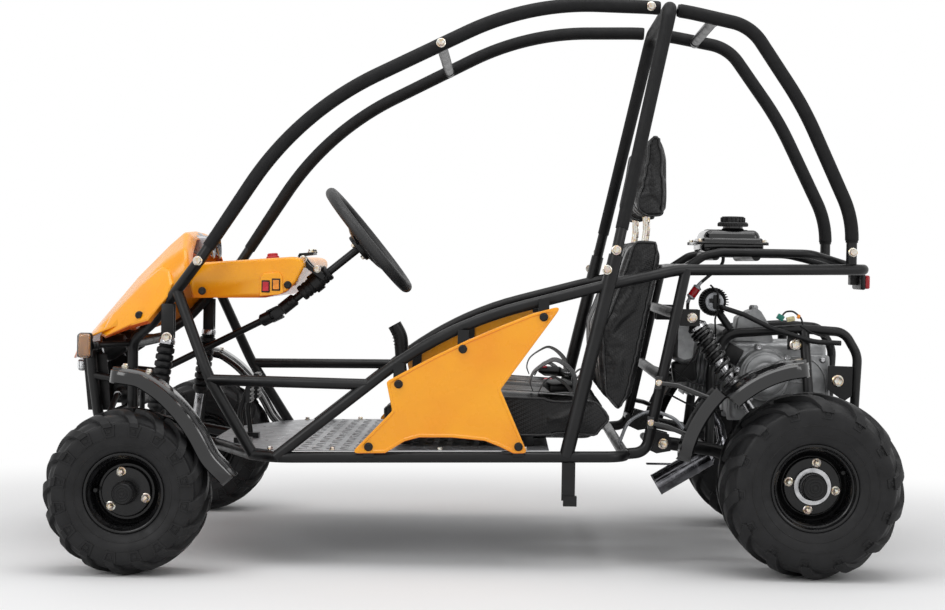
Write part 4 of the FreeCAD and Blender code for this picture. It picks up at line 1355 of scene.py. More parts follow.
panel_kit = Kit()
panel_kit.both(shield())
make("side_panel_shields", panel_kit, yellow, "chassis", "body_yellow", 24, ["side_panels"])
panel_bolts = [(-0.153, 0.411), (-0.012, 0.491), (0.166, 0.565), (-0.217, 0.271), (0.115, 0.277)]
panel_places = [((x, s * (-panel_face - 0.0006), z), (0, s, 0)) for x, z in panel_bolts for s in (-1, 1)]
fit_bolts("side_panel_bolts", panel_places, 0.0135, plastic)
print("side panels:", len(panel_places), "bolts")

# %% [markdown]
# ## Fenders
# Each fender is a strip of pressed plastic bent over its wheel, with a raised band along its middle, a deep
# outer skirt and a small inner lip. Its section is drawn once and carried along the curve. It narrows to a
# round end at both ends.

# %% Front and rear fenders
front_fender_line = [(-0.762, 0.441), (-0.716, 0.436), (-0.686, 0.427), (-0.640, 0.396), (-0.598, 0.353),
                     (-0.566, 0.308), (-0.540, 0.262), (-0.512, 0.232), (-0.496, 0.214)]


def fender(line, middle, half, skirt, lip, band, thickness):
    """A closed fender shell along an (x, z) line, its outer face first."""
    line = [Vector((x, z)) for x, z in smooth_line(line, 7)]
    far = lengths(line)
    section = [(-1.0, -skirt), (-1.0, -skirt * 0.5), (-0.985, -0.006), (-0.93, -0.0012), (-0.5, 0.0),
               (-0.43, band), (0.0, band * 1.15), (0.43, band), (0.5, 0.0), (0.93, -0.0012), (0.985, -0.005),
               (1.0, -lip)]
    loops = []
    for i, spot in enumerate(line):
        along = (line[min(i + 1, len(line) - 1)] - line[max(i - 1, 0)]).normalized()
        up = Vector((-along.y, along.x))
        if up.y < 0 and abs(up.y) > abs(up.x) or up.x < 0 and abs(up.x) >= abs(up.y):
            up = -up
        end = min(far[i], far[-1] - far[i]) / 0.045
        wide = half * (1.0 if end >= 1 else 0.62 + 0.38 * math.sqrt(1 - (1 - end) ** 2))
        outer = [(spot + up * h, middle + share * wide) for share, h in section]
        inner = [(spot + up * (h - thickness), middle + share * (wide - thickness)) for share, h in reversed(section)]
        loops.append([(p.x, y, p.y) for p, y in outer + inner])
    return loft(loops)


front_guard_left = make("left_front_fender_shell", fender(front_fender_line, -0.530, 0.052, 0.026, 0.014, 0.004, 0.0026),
                        gloss_black, "left_knuckle", "fender_black", 34, ["left_front_fender"])
twin(front_guard_left, "right_front_fender_shell", "right_knuckle", ["right_front_fender"])
fender_bolt_spots = [(-0.742, 0.441), (-0.690, 0.4305)]
kit = Kit()
for x, z in fender_bolt_spots:
    kit.add(bolt(0.010), facing((x, -0.512, z + 0.0035), (0.15, 0, 1)))
fender_bolts = make("left_fender_bolts", kit, zinc, "left_knuckle", "bright_steel", 30)
twin(fender_bolts, "right_fender_bolts", "right_knuckle")

rear_guard_radius = 0.275
rear_arc = [(rear_hub.x + rear_guard_radius * math.cos(a), rear_hub.z + rear_guard_radius * math.sin(a))
            for a in (math.radians(93 + 11 * k) for k in range(8))]
rear_kit = Kit()
rear_kit.both(fender(rear_arc, -0.407, 0.089, 0.030, 0.016, 0.004, 0.0028))
for route in ([(0.424, -0.369, 0.420), (0.470, -0.372, 0.415), (0.550, -0.384, 0.385)],
              [(0.408, -0.366, 0.330), (0.450, -0.368, 0.322), (0.507, -0.374, 0.300)]):
    rear_kit.both(bar(bent(route, 0.03), 0.006))
rear_kit.both(block((0.016, 0.005, 0.030), 0.0015), Matrix.Translation((0.428, -0.3715, 0.420)))
rear_kit.both(block((0.016, 0.005, 0.028), 0.0015), Matrix.Translation((0.412, -0.3685, 0.330)))
make("rear_fender_shells", rear_kit, gloss_black, "chassis", "fender_black", 34, ["rear_fenders"])
rear_fender_bolts = [((0.428, -0.3745, 0.420), left), ((0.412, -0.3715, 0.330), left)]
fit_bolts("rear_fender_bolts", rear_fender_bolts + [(mirror @ Vector(p), -left) for p, _ in rear_fender_bolts],
          0.010, zinc)
print("fenders: 4")

# %% [markdown]
# ## Lamps
# Two round headlamps sit under the nose, each a plastic bucket with a bright bezel, a mirror bowl and a domed
# glass. The turn signals are clear blocks with an amber half on short stalks. The tail lamp is a red lens in a
# black case, with ribs moulded across it.

# %% Headlamps, turn signals and tail lamp
lamp_tip = math.radians(14)
lamp_way = Vector((-math.cos(lamp_tip), 0, -math.sin(lamp_tip)))
lamp_back = Vector((-0.822, -0.104, 0.478))
lamp_place = facing(lamp_back, lamp_way)
bucket = Kit()
bucket.both(lathe([(0, 0), (0.012, 0), (0.020, 0.003), (0.033, 0.038), (0.034, 0.042), (0.034, 0.053), (0.031, 0.053),
                   (0.030, 0.044), (0, 0.044)], 48, closed=False), lamp_place)
bucket.both(bar([lamp_back + lamp_way * 0.008, Vector((-0.804, -0.104, 0.480))], 0.009))
make("headlamp_buckets", bucket, plastic, "chassis", "plastic_black", 34, ["headlights"])
bezels = Kit()
bezels.both(lathe([(0.0335, 0.050), (0.0345, 0.051), (0.0345, 0.0545), (0.0325, 0.056), (0.0295, 0.055),
                   (0.0295, 0.050)], 64), lamp_place)
bezels.both(lathe([(0.0295, 0.052), (0.024, 0.046), (0.012, 0.0445), (0, 0.0442)], 48, closed=False), lamp_place)
make("headlamp_bezels", bezels, steel, "chassis", "bright_steel", 40)
glasses = Kit()
glasses.both(lathe([(0.0294, 0.0525), (0.024, 0.0565), (0.012, 0.0585), (0, 0.059), (0, 0.057), (0.024, 0.0545),
                    (0.0294, 0.0505)], 48, closed=False), lamp_place)
glasses.add(block((0.030, 0.140, 0.029), 0.008, 4), Matrix.Translation((-0.934, 0, 0.420)))
make("headlamp_glasses", glasses, clear_glass, "chassis", "lamp_clear", 50)

signal_at = Vector((-0.884, -0.279, 0.477))
signals = Kit()
signals.both(block((0.030, 0.015, 0.055), 0.006, 4), Matrix.Translation(signal_at + Vector((0, -0.0085, 0))))
make("turn_signal_lenses", signals, clear_glass, "chassis", "lamp_clear", 50, ["turn_signals"])
ambers = Kit()
ambers.both(block((0.022, 0.008, 0.046), 0.003, 3), Matrix.Translation(signal_at + Vector((0, -0.005, 0))))
make("turn_signal_bulbs", ambers, amber_glass, "chassis", "lamp_clear", 50)
cases = Kit()
cases.both(block((0.032, 0.018, 0.058), 0.006, 4), Matrix.Translation(signal_at + Vector((0, 0.0085, 0))))
cases.both(bar([signal_at + Vector((0.0, 0.012, -0.001)), Vector((-0.797, -0.206, 0.480))], 0.007))
cases.both(lathe([(0.009, 0), (0.0105, 0.004), (0.009, 0.008), (0.0105, 0.012), (0.009, 0.016), (0.007, 0.018)], 24),
           facing(signal_at + Vector((0.014, 0.014, -0.001)), (0.77, 0.64, 0.03)))
make("turn_signal_cases", cases, plastic, "chassis", "plastic_black", 34)

tail = Kit()
tail.add(block((0.012, 0.118, 0.038), 0.005, 3), Matrix.Translation((0.9448, 0, 0.652)))
tail.add(block((0.020, 0.036, 0.004), 0.001), Matrix.Translation((0.932, 0, 0.667)))
tail.add(block((0.022, 0.034, 0.026), 0.002), Matrix.Translation((0.932, 0, 0.657)))
make("tail_lamp_case", tail, plastic, "chassis", "plastic_black", 34, ["tail_light"])
lens = Kit()
lens.add(block((0.012, 0.112, 0.033), 0.004, 3), Matrix.Translation((0.9550, 0, 0.652)))
for k in range(9):
    lens.add(block((0.002, 0.0035, 0.028), 0.0008), Matrix.Translation((0.9610, -0.048 + 0.012 * k, 0.652)))
make("tail_lamp_lens", lens, red_glass, "chassis", "lamp_red", 40)
print("lamps: 2 headlamps, 2 turn signals, 1 tail lamp")

# %% [markdown]
# ## Roll cage
# The cage is thin steel tube inside a thick foam sleeve. The sleeve stops short of each joint, where the bare
# tube is flattened and bolted, so the steel and the sleeves are two pieces along the same lines.

# %% Cage tubes, sleeves and joint bolts
sleeve_radius = 0.016
bare_radius = 0.0127
roof_line = bent([(-0.616, -0.336, 0.674), (-0.394, -0.325, 1.019), (0.124, -0.285, 1.281), (0.453, -0.236, 1.281),
                  (0.641, -0.218, 1.244), (0.770, -0.200, 1.059), (0.892, -0.180, 0.803), (0.892, -0.178, 0.6948)],
                 [0.915, 1.072, 0.700, 0.110, 0.800, 0.250], 26)
hoop_line = bent([(0.325, -0.400, 0.705), (0.449, -0.275, 1.279), (0.449, 0.275, 1.279), (0.325, 0.400, 0.705)],
                 0.045, 12)
hoop_x = 0.449
roof_front = [p for p in roof_line if p.x < hoop_x - 0.018]
roof_rear = [p for p in roof_line if p.x > hoop_x + 0.018]


def sleeve(line, head, tail):
    """A foam sleeve along part of a line, with its two ends rounded off."""
    kept = trimmed(line, head, tail)
    total = lengths(kept)[-1]

    def wide(along):
        end = min(along, total - along)
        return sleeve_radius if end > 0.004 else sleeve_radius - 0.0015
    ends = [Vector(kept[0]).lerp(Vector(kept[1]), 0.5)] if (kept[1] - kept[0]).length < 0.008 else \
        [kept[0] + (kept[1] - kept[0]).normalized() * 0.004]
    last = [kept[-1] + (kept[-2] - kept[-1]).normalized() * 0.004]
    return bar(kept[:1] + ends + kept[1:-1] + last + kept[-1:], wide, 28)


for name, route, head, tail, covers in (("front_roof", roof_front, 0.040, 0.0, ["front_cage"]),
                                        ("rear_roof", roof_rear, 0.0, 0.050, ["rear_cage"])):
    sleeves = Kit()
    sleeves.both(sleeve(route, head, tail))
    make(name + "_sleeves", sleeves, sleeve_foam, "chassis", "cage_black", 50, covers)
make("hoop_sleeve", sleeve(hoop_line, 0.062, 0.062), sleeve_foam, "chassis", "cage_black", 50, ["main_hoop"])
bare = Kit()
bare.both(bar(roof_front, bare_radius, 20))
bare.both(bar(roof_rear, bare_radius, 20))
bare.add(bar(hoop_line, bare_radius, 20))
bare.add(bar([(-0.076, -0.300, 1.178), (-0.076, 0.300, 1.178)], 0.0125, 20))
bare.add(bar([(0.556, -0.226, 1.258), (0.556, 0.226, 1.258)], 0.0125, 20))
bare.both(bar([(-0.076, -0.306, 1.178), (-0.076, -0.270, 1.178)], 0.0145, 20))
bare.both(bar([(0.556, -0.230, 1.258), (0.556, -0.196, 1.258)], 0.0145, 20))
make("cage_bare_tubes", bare, black_paint, "chassis", "cage_black", 40)
cage_bolts = [((-0.616, -0.350, 0.676), (0, -1, 0)), ((0.305, -0.418, 0.672), (0, -1, 0)),
              ((0.325, -0.4145, 0.716), (0, -1, 0)), ((-0.076, -0.322, 1.181), (0, -1, 0.15)),
              ((0.405, -0.258, 1.2815), (0, -1, 0)), ((0.893, -0.1915, 0.722), (0, -1, 0))]
cage_places = cage_bolts + [((x, -y, z), (a, -b, c)) for (x, y, z), (a, b, c) in cage_bolts]
fit_bolts("cage_joint_bolts", cage_places, 0.015, zinc)
print("cage:", len(cage_places), "joint bolts")

# %% [markdown]
# ## Seats
# Each seat is foam under a stretched vinyl cover. A slightly small block is remeshed into even patches, and a
# cloth simulation blows it up like a pillow; how far a point may move is capped, which keeps the sides slim.
# The middle of the cushion and its sides carry the pressed weave and the bolsters are smooth. Piping is sewn
# along each side afterwards, laid on the finished surface.

# %% Cushions blown up by cloth simulation
seat_middle = 0.178
seat_half = 0.170
back_half = 0.155
base_outline = [(-0.200, 0.352), (-0.190, 0.312), (0.096, 0.293), (0.296, 0.295), (0.330, 0.334), (0.298, 0.372),
                (0.072, 0.384), (-0.146, 0.365)]
back_outline = [(0.312, 0.386), (0.342, 0.346), (0.362, 0.382), (0.386, 0.488), (0.416, 0.649), (0.427, 0.722),
                (0.420, 0.743), (0.381, 0.743), (0.369, 0.733), (0.332, 0.618), (0.301, 0.538), (0.304, 0.456)]
head_outline = [(0.402, 0.792), (0.381, 0.806), (0.379, 0.830), (0.395, 0.909), (0.403, 0.970), (0.412, 0.982),
                (0.425, 0.980), (0.437, 0.929), (0.439, 0.841), (0.437, 0.793)]


def blown_up(name, shape, patch, cap, pressure=4.0):
    """The shape as a soft, swollen mesh: remeshed, simulated as a sealed cloth bag and capped."""
    mesh = bpy.data.meshes.new(name)
    mesh.from_pydata([tuple(p) for p in shape[0]], [], shape[1])
    piece = bpy.data.objects.new(name, mesh)
    bpy.context.scene.collection.objects.link(piece)
    remesh = piece.modifiers.new("even_patches", "REMESH")
    remesh.mode = "VOXEL"
    remesh.voxel_size = patch
    even = bpy.data.meshes.new_from_object(piece.evaluated_get(bpy.context.evaluated_depsgraph_get()))
    piece.modifiers.clear()
    piece.data = even
    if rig.quick():
        return piece
    before = np.array([v.co for v in even.vertices])
    cloth = piece.modifiers.new("swell", "CLOTH")
    settings = cloth.settings
    settings.quality = 4
    settings.mass = 0.25
    settings.tension_stiffness = 12
    settings.compression_stiffness = 12
    settings.shear_stiffness = 5
    settings.bending_stiffness = 0.6
    settings.use_pressure = True
    settings.uniform_pressure_force = pressure
    settings.effector_weights.gravity = 0
    cloth.collision_settings.use_collision = False
    cloth.point_cache.frame_start = 1
    cloth.point_cache.frame_end = 20
    scene = bpy.context.scene
    for step in range(1, 21):
        scene.frame_set(step)
    swollen = bpy.data.meshes.new_from_object(piece.evaluated_get(bpy.context.evaluated_depsgraph_get()))
    after = np.array([v.co for v in swollen.vertices])
    scene.frame_set(1)
    piece.modifiers.clear()
    piece.data = swollen
    move = after - before
    far = np.linalg.norm(move, axis=1, keepdims=True)
    after = before + move * np.minimum(1.0, cap / np.maximum(far, 1e-9))
    swollen.vertices.foreach_set("co", after.ravel())
    swollen.update()
    print(name, "swelled by up to", round(float(min(cap, far.max())) * 1000, 1), "mm")
    return piece


def upholster(piece, middle, insert_half, side_half):
    """Weave on the middle and on the sides, smooth vinyl between; then one subdivision."""
    mesh = piece.data
    mesh.materials.clear()
    mesh.materials.append(weave)
    mesh.materials.append(vinyl)
    for face in mesh.polygons:
        away = abs(face.center.y - middle)
        face.material_index = 1 if insert_half < away < side_half else 0
    finer = piece.modifiers.new("finer", "SUBSURF")
    finer.levels = 1
    finer.render_levels = 1
    for face in mesh.polygons:
        face.use_smooth = True


def on_surface(tree, points, lift):
    """Each point brought to the nearest place on the surface and lifted off it."""
    laid = []
    for point in points:
        place, normal, _, _ = tree.find_nearest(Vector(point))
        laid.append(place + normal * lift)
    return laid


def seam_loop(outline, y, count=96):
    """Evenly spread points round an outline, at one Y place."""
    closed = [Vector((x, y, z)) for x, z in outline + outline[:1]]
    far = lengths(closed)
    spread = []
    for k in range(count):
        stop = far[-1] * k / count
        i = max(j for j in range(len(far) - 1) if far[j] <= stop)
        spread.append(closed[i].lerp(closed[i + 1], (stop - far[i]) / (far[i + 1] - far[i])))
    return spread


def cushion(name, outline, half, cap, insert, node, edge=0.012):
    """The left cushion with its piping, and its twin on the right."""
    shape = slab(round_corners(outline, edge, 3), -seat_middle - half + 0.006, -seat_middle + half - 0.006)
    pad_piece = blown_up("left_" + name, shape, 0.006, cap)
    upholster(pad_piece, -seat_middle, insert, half - 0.030)
    tree = BVHTree.FromPolygons([v.co for v in pad_piece.data.vertices],
                                [tuple(f.vertices) for f in pad_piece.data.polygons])
    piping = Kit()
    for side in (-1, 1):
        loop = seam_loop(inset(outline, 0.001), -seat_middle + side * (half - 0.010))
        laid = on_surface(tree, loop, 0.0012)
        piping.add(bar(laid, 0.0030, 8, closed=True))
        across = seam_loop(inset(outline, 0.001), -seat_middle + side * insert)
        piping.add(bar(on_surface(tree, across, 0.0002), 0.0016, 6, closed=True))
    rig.ride(pad_piece, "chassis")
    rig.slot(pad_piece, "seat_vinyl")
    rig.replaces(pad_piece, node)
    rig.padded(pad_piece, fill=0.8)
    other = twin(pad_piece, "right_" + name, "chassis")
    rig.padded(other, fill=0.8)
    trim = make("left_" + name + "_piping", piping, vinyl, "chassis", "seat_vinyl", 180)
    twin(trim, "right_" + name + "_piping", "chassis")
    return pad_piece


cushion("seat_cushion", base_outline, seat_half, 0.009, 0.095, "seat_bases")
cushion("seat_back", back_outline, back_half, 0.009, 0.085, "seat_backs")
cushion("headrest", head_outline, 0.122, 0.008, 0.070, "headrests")
brackets = Kit()
for side in (-1, 1):
    for y in (-0.035, 0.035):
        strap = bent([(0.405, side * seat_middle + y, 0.735), (0.409, side * seat_middle + y, 0.765),
                      (0.408, side * seat_middle + y, 0.800)], 0.03)
        brackets.add(bar(strap, 0.006, 12))
    brackets.add(block((0.006, 0.090, 0.032), 0.0015), Matrix.Translation((0.4105, side * seat_middle, 0.768)))
make("headrest_brackets", brackets, zinc, "chassis", "bright_steel", 34)
feet = Kit()
for x in (-0.145, 0.135):
    for y in (-0.135, 0.120):
        foot_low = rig.box("floor_pan")[1].z if x > 0 else 0.262
        feet.both(block((0.030, 0.030, 0.046), 0.002), Matrix.Translation((x, -seat_middle + y, 0.291)))
make("seat_feet", feet, black_paint, "chassis", "frame_black", 34)
print("seats: 2, each of 3 cushions")

# %% [markdown]
# ## Lap belts
# A lap belt is flat webbing, about 45 mm wide and 2 mm thick. Off duty it lies on the seat in loose loops. Each
# strap is a ribbon along a smooth line, with a bright slotted tongue and a buckle with a red button.

# %% Belt straps and buckles


def strap(marks, y, width, thick=0.0021, twist=0.0):
    """A ribbon along (x, z) marks, with its width across the kart."""
    line = [Vector((p[0], y, p[1])) for p in smooth_line(marks, 6)]
    loops = []
    for i, spot in enumerate(line):
        along = (line[min(i + 1, len(line) - 1)] - line[max(i - 1, 0)]).normalized()
        lean = Matrix.Rotation(twist * i / len(line), 3, along)
        across = lean @ Vector((0, 1, 0))
        out = along.cross(across).normalized()
        corners = [(-0.5, -0.35), (-0.49, 0.5), (-0.43, 0.62), (0.43, 0.62), (0.49, 0.5), (0.5, -0.35), (0.43, -0.5),
                   (-0.43, -0.5)]
        loops.append([spot + across * (a * width) + out * (b * thick) for a, b in corners])
    return loft(loops)


belts = Kit()
belts.both(strap([(0.146, 0.394), (0.140, 0.414), (0.149, 0.438), (0.178, 0.459), (0.198, 0.465), (0.222, 0.452),
                  (0.240, 0.428), (0.243, 0.389)], -0.316, 0.042, twist=0.3))
belts.both(strap([(0.160, 0.391), (0.172, 0.412), (0.190, 0.425), (0.212, 0.416), (0.236, 0.392)], -0.306, 0.040,
                 twist=-0.25))
belts.both(strap([(0.250, 0.386), (0.252, 0.404), (0.268, 0.421), (0.284, 0.420), (0.291, 0.404), (0.287, 0.384)],
                 -0.084, 0.038))
make("lap_belt_straps", belts, webbing, "chassis", "belt_webbing", 50, ["lap_belts"])
buckles = Kit()
buckles.both(block((0.062, 0.050, 0.018), 0.005, 3), facing((0.205, -0.276, 0.404), (0.1, -0.25, 1)))
make("belt_buckles", buckles, plastic, "chassis", "plastic_black", 34)
buttons = Kit()
buttons.both(block((0.020, 0.036, 0.006), 0.0015, 2), facing((0.187, -0.273, 0.4125), (0.1, -0.25, 1)))
make("belt_buckle_buttons", buttons, red_plastic, "chassis", "lamp_red", 34)
tongues = Kit()
tongues.both(block((0.040, 0.030, 0.0022), 0.0008, 1), facing((0.246, -0.276, 0.398), (0.1, -0.25, 1)))
make("belt_tongues", tongues, steel, "chassis", "bright_steel", 34)
print("lap belts: 2")

# %% [markdown]
# ## Steering wheel and column
# The wheel is a steel ring covered in dense foam, with three flat spokes and a boxy pad in the middle. The
# upper shaft runs through a bearing sleeve clamped to the dash, down to a universal joint of two forks and a
# cross. From there the lower shaft goes to the rack.

# %% Wheel, column and universal joint
wheel_middle = Vector((-0.241, -0.200, 0.731))
column_tilt = math.radians(39.5)
column_way = Vector((math.cos(column_tilt), 0, math.sin(column_tilt)))
rim_radius = 0.1395
grip_radius = 0.0135
wheel_place = facing(wheel_middle, column_way)
grip_outline = [(rim_radius + grip_radius * math.cos(a), grip_radius * 0.97 * math.sin(a))
                for a in (2 * math.pi * k / 20 for k in range(20))]
make("steering_wheel_grip", placed(Kit().add(lathe(grip_outline, 96)), wheel_place), grip_foam, "steering_wheel",
     "wheel_foam", 60, ["steering_wheel"])
spokes = Kit()
down = (wheel_place.inverted().to_3x3() @ Vector((0, 0, -1)))
down_angle = math.atan2(down.y, down.x)
for k in range(3):
    turn = Matrix.Rotation(down_angle + 2 * math.pi * k / 3, 4, "Z")
    arm = [(0.020, 0, -0.026), (0.060, 0, -0.020), (0.105, 0, -0.006), (rim_radius, 0, 0)]
    loops = []
    for i, spot in enumerate(bent(arm, 0.08, 5)):
        wide = 0.013 - 0.003 * min(1, spot.x / rim_radius)
        loops.append([turn @ Vector((spot.x, a * wide, spot.z + b * 0.0028)) for a, b in
                      ((-1, -0.6), (-0.8, -1), (0.8, -1), (1, -0.6), (1, 0.6), (0.8, 1), (-0.8, 1), (-1, 0.6))])
    spokes.add(loft(loops), wheel_place)
spokes.add(lathe([(0, -0.034), (0.032, -0.034), (0.034, -0.032), (0.034, -0.022), (0.031, -0.018), (0, -0.018)], 48,
                 closed=False), wheel_place)
make("steering_wheel_spokes", spokes, black_paint, "steering_wheel", "frame_black", 34)
middle_pad = Kit()
middle_pad.add(block((0.078, 0.078, 0.020), 0.006, 3), wheel_place @ Matrix.Rotation(down_angle, 4, "Z")
               @ Matrix.Translation((0, 0, -0.013)))
make("steering_wheel_pad", middle_pad, plastic, "steering_wheel", "plastic_black", 40)
fit_bolts("steering_wheel_nuts", [(wheel_place @ Vector((0.022 * math.cos(a), 0.022 * math.sin(a), -0.0345)),
                                   -column_way) for a in (0.5, 2.6, 4.7)], 0.009, zinc, "steering_wheel")

joint_middle = wheel_middle - column_way * 0.275
rack_end = Vector((-0.822, -0.092, 0.371))
lower_way = (joint_middle - rack_end).normalized()


def fork(length, gap, wide):
    """One half of a universal joint: a collar and two ears, pointing down the local Z line."""
    kit = Kit()
    kit.add(lathe([(0, 0.014), (wide * 0.62, 0.014), (wide * 0.62, length), (wide * 0.5, length + 0.003),
                   (0, length + 0.003)], 32, closed=False))
    for side in (-1, 1):
        kit.add(block((0.006, wide * 0.9, 0.030), 0.002, 2), Matrix.Translation((side * gap, 0, 0.004)))
    kit.add(block((gap * 2 + 0.006, wide * 0.9, 0.006), 0.002, 2), Matrix.Translation((0, 0, 0.017)))
    return kit


upper_fork = placed(fork(0.052, 0.0125, 0.024), facing(joint_middle, column_way))
upper_fork.add(bolt(0.009), facing(joint_middle + column_way * 0.040 + left * 0.015, left))
make("upper_joint_fork", upper_fork, black_paint, "steering_wheel", "frame_black", 34)
lower_fork = placed(fork(0.040, 0.0125, 0.024), facing(joint_middle, -lower_way, roll=math.pi / 2))
make("lower_joint_fork", lower_fork, black_paint, "lower_steering_shaft", "frame_black", 34)
cross = Kit()
cross.add(block((0.012, 0.012, 0.012), 0.002), facing(joint_middle, column_way))
make("joint_cross", cross, steel, "lower_steering_shaft", "bright_steel", 34)

sleeve_middle = wheel_middle - column_way * 0.162
column_sleeve = Kit()
ribs = [(0.0092, -0.040)]
for k in range(7):
    ribs += [(0.0172, -0.040 + k * 0.012), (0.0190, -0.037 + k * 0.012), (0.0190, -0.031 + k * 0.012),
             (0.0172, -0.0285 + k * 0.012)]
ribs.append((0.0092, 0.0435))
column_sleeve.add(lathe(ribs, 40), facing(sleeve_middle, column_way))
make("column_bearing_sleeve", column_sleeve, boot_rubber, "chassis", "plastic_black", 40, ["column_bracket"])
clamp = Kit()
clamp.add(slab([(-0.402, 0.6905), (-0.397, 0.6965), (-0.374, 0.6705), (-0.338, 0.6465), (-0.344, 0.6365),
                (-0.379, 0.6605)], -0.240, -0.218))
clamp.add(slab([(-0.402, 0.6905), (-0.397, 0.6965), (-0.374, 0.6705), (-0.338, 0.6465), (-0.344, 0.6365),
                (-0.379, 0.6605)], -0.182, -0.160))
clamp.add(slab([(-0.403, 0.6895), (-0.399, 0.6975), (-0.366, 0.7005), (-0.366, 0.6945)], -0.240, -0.160))
clamp.add(lathe([(0.0195, -0.010), (0.0235, -0.010), (0.0235, 0.010), (0.0195, 0.010)], 40),
          facing(sleeve_middle + column_way * 0.004, column_way))
make("column_clamp", clamp, black_paint, "chassis", "frame_black", 34)
fit_bolts("column_clamp_bolts", [((-0.372, -0.229, 0.7005), (0, 0, 1)), ((-0.372, -0.171, 0.7005), (0, 0, 1)),
                                 ((-0.357, -0.241, 0.661), (0, -1, 0)), ((-0.357, -0.159, 0.661), (0, 1, 0)),
                                 ((-0.390, -0.241, 0.684), (0, -1, 0))], 0.012, zinc)
boots = Kit()
boot = [(0.0095, 0.0)]
for k in range(7):
    boot += [(0.017 - k * 0.0008, 0.001 + k * 0.0062), (0.0125 - k * 0.0004, 0.004 + k * 0.0062)]
boot.append((0.0095, 0.046))
boots.add(lathe(boot, 32), facing((-0.833, -0.105, 0.355), left))
boots.add(lathe(boot, 32), facing((-0.833, 0.105, 0.355), -left))
make("rack_boots", boots, boot_rubber, "chassis", "plastic_black", 60)
rod_ends = Kit()
for name, arm_y in (("left", -0.408), ("right", 0.408)):
    ends = Kit()
    ends.add(lathe([(0, -0.004), (0.007, -0.004), (0.013, 0.002), (0.013, 0.010), (0.009, 0.016), (0.0075, 0.018),
                    (0, 0.018)], 28, closed=False), Matrix.Translation((-0.833, arm_y, 0.236)))
    make(name + "_tie_rod_end", ends, boot_rubber, name + "_tie_rod", "plastic_black", 50)
print("steering: wheel", round(rim_radius * 2000 + grip_radius * 2000), "mm across")

# %% [markdown]
# ## Dampers
# A damper is an oil tube in a coil spring. The front ones hide theirs in a ribbed rubber boot. The rear ones
# show their black coil, tight at the top and open below, round a plated body. Each eye is held by a zinc bolt.

# %% Front and rear dampers
front_top = Vector((-0.690, -0.296, 0.500))
front_low = Vector((-0.728, -0.311, 0.2238))
front_way = (front_low - front_top).normalized()
boot_ribs = 9
boot_outline = [(0.0, 0.016), (0.015, 0.016), (0.018, 0.019)]
for k in range(boot_ribs):
    start = 0.022 + k * 0.0160
    boot_outline += [(0.0155, start), (0.0200, start + 0.003), (0.0205, start + 0.008), (0.0200, start + 0.0125)]
boot_outline += [(0.0150, 0.167), (0.0125, 0.172), (0.0, 0.172)]
front_boots = Kit()
front_boots.both(lathe(boot_outline, 40, closed=False), facing(front_top, front_way))
make("front_damper_boots", front_boots, boot_rubber, "chassis", "spring_black", 50, ["front_shocks"])
front_rods = Kit()
front_rods.both(lathe([(0, 0.165), (0.011, 0.165), (0.011, 0.262), (0.009, 0.266), (0.009, 0.279), (0, 0.279)], 32,
                      closed=False), facing(front_top, front_way))
front_rods.both(lathe([(0.009, -0.002), (0.0165, 0.002), (0.0185, 0.008), (0.0185, 0.015), (0.009, 0.018)], 32),
                facing(front_top, front_way))
make("front_damper_bodies", front_rods, steel, "chassis", "bright_steel", 34)
front_eyes = Kit()
for spot in (front_top, front_low + Vector((0, 0, 0.004))):
    front_eyes.both(lathe([(0.005, -0.011), (0.013, -0.011), (0.013, 0.011), (0.005, 0.011)], 32), facing(spot, left))
front_eyes.both(block((0.028, 0.006, 0.080), 0.002), Matrix.Translation((-0.690, -0.3045, 0.537)))
front_eyes.both(block((0.028, 0.006, 0.080), 0.002), Matrix.Translation((-0.690, -0.2795, 0.537)))
make("front_damper_brackets", front_eyes, black_paint, "chassis", "frame_black", 34)

rear_top = Vector((0.512, -0.230, 0.564))
rear_low = Vector((0.687, -0.243, 0.300))
rear_way = (rear_low - rear_top).normalized()
rear_length = (rear_low - rear_top).length
rear_place = facing(rear_top, rear_way)


def coil(radius, wire, pitches, start, steps=26):
    """A spring of this radius; each turn has its own rise."""
    line = []
    height = start
    for rise in pitches:
        for k in range(steps):
            angle = 2 * math.pi * k / steps
            line.append((radius * math.cos(angle), radius * math.sin(angle), height + rise * k / steps))
        height += rise
    line.append((radius, 0, height))
    return bar(line, wire, 12)


springs = Kit()
coil_rises = [0.0085] * 2 + [0.0175] * 4 + [0.0215] * 4 + [0.0085] * 2
springs.both(coil(0.0205, 0.0046, coil_rises, 0.034), rear_place)
make("rear_springs", springs, gloss_black, "chassis", "spring_black", 60, ["rear_shocks"])
rear_bodies = Kit()
rear_bodies.both(lathe([(0, 0.100), (0.0125, 0.100), (0.0125, rear_length - 0.016), (0.010, rear_length - 0.010),
                        (0, rear_length - 0.010)], 36, closed=False), rear_place)
rear_bodies.both(lathe([(0, 0.012), (0.012, 0.012), (0.019, 0.020), (0.0235, 0.024), (0.0235, 0.031), (0.014, 0.034),
                        (0, 0.034)], 40, closed=False), rear_place)
make("rear_damper_bodies", rear_bodies, steel, "chassis", "bright_steel", 34)
rear_cases = Kit()
rear_cases.both(lathe([(0, 0.030), (0.0145, 0.030), (0.0145, 0.118), (0, 0.118)], 32, closed=False), rear_place)
rear_cases.both(lathe([(0, rear_length - 0.052), (0.024, rear_length - 0.052), (0.024, rear_length - 0.046),
                       (0.014, rear_length - 0.040), (0, rear_length - 0.040)], 40, closed=False), rear_place)
rear_cases.both(lathe([(0.006, -0.0205), (0.0125, -0.0205), (0.0125, 0.0205), (0.006, 0.0205)], 32),
                facing(rear_top, left))
rear_cases.both(lathe([(0.006, -0.007), (0.0125, -0.007), (0.0125, 0.0105), (0.006, 0.0105)], 32),
                facing(rear_low, left))
make("rear_damper_cases", rear_cases, black_paint, "chassis", "frame_black", 34)
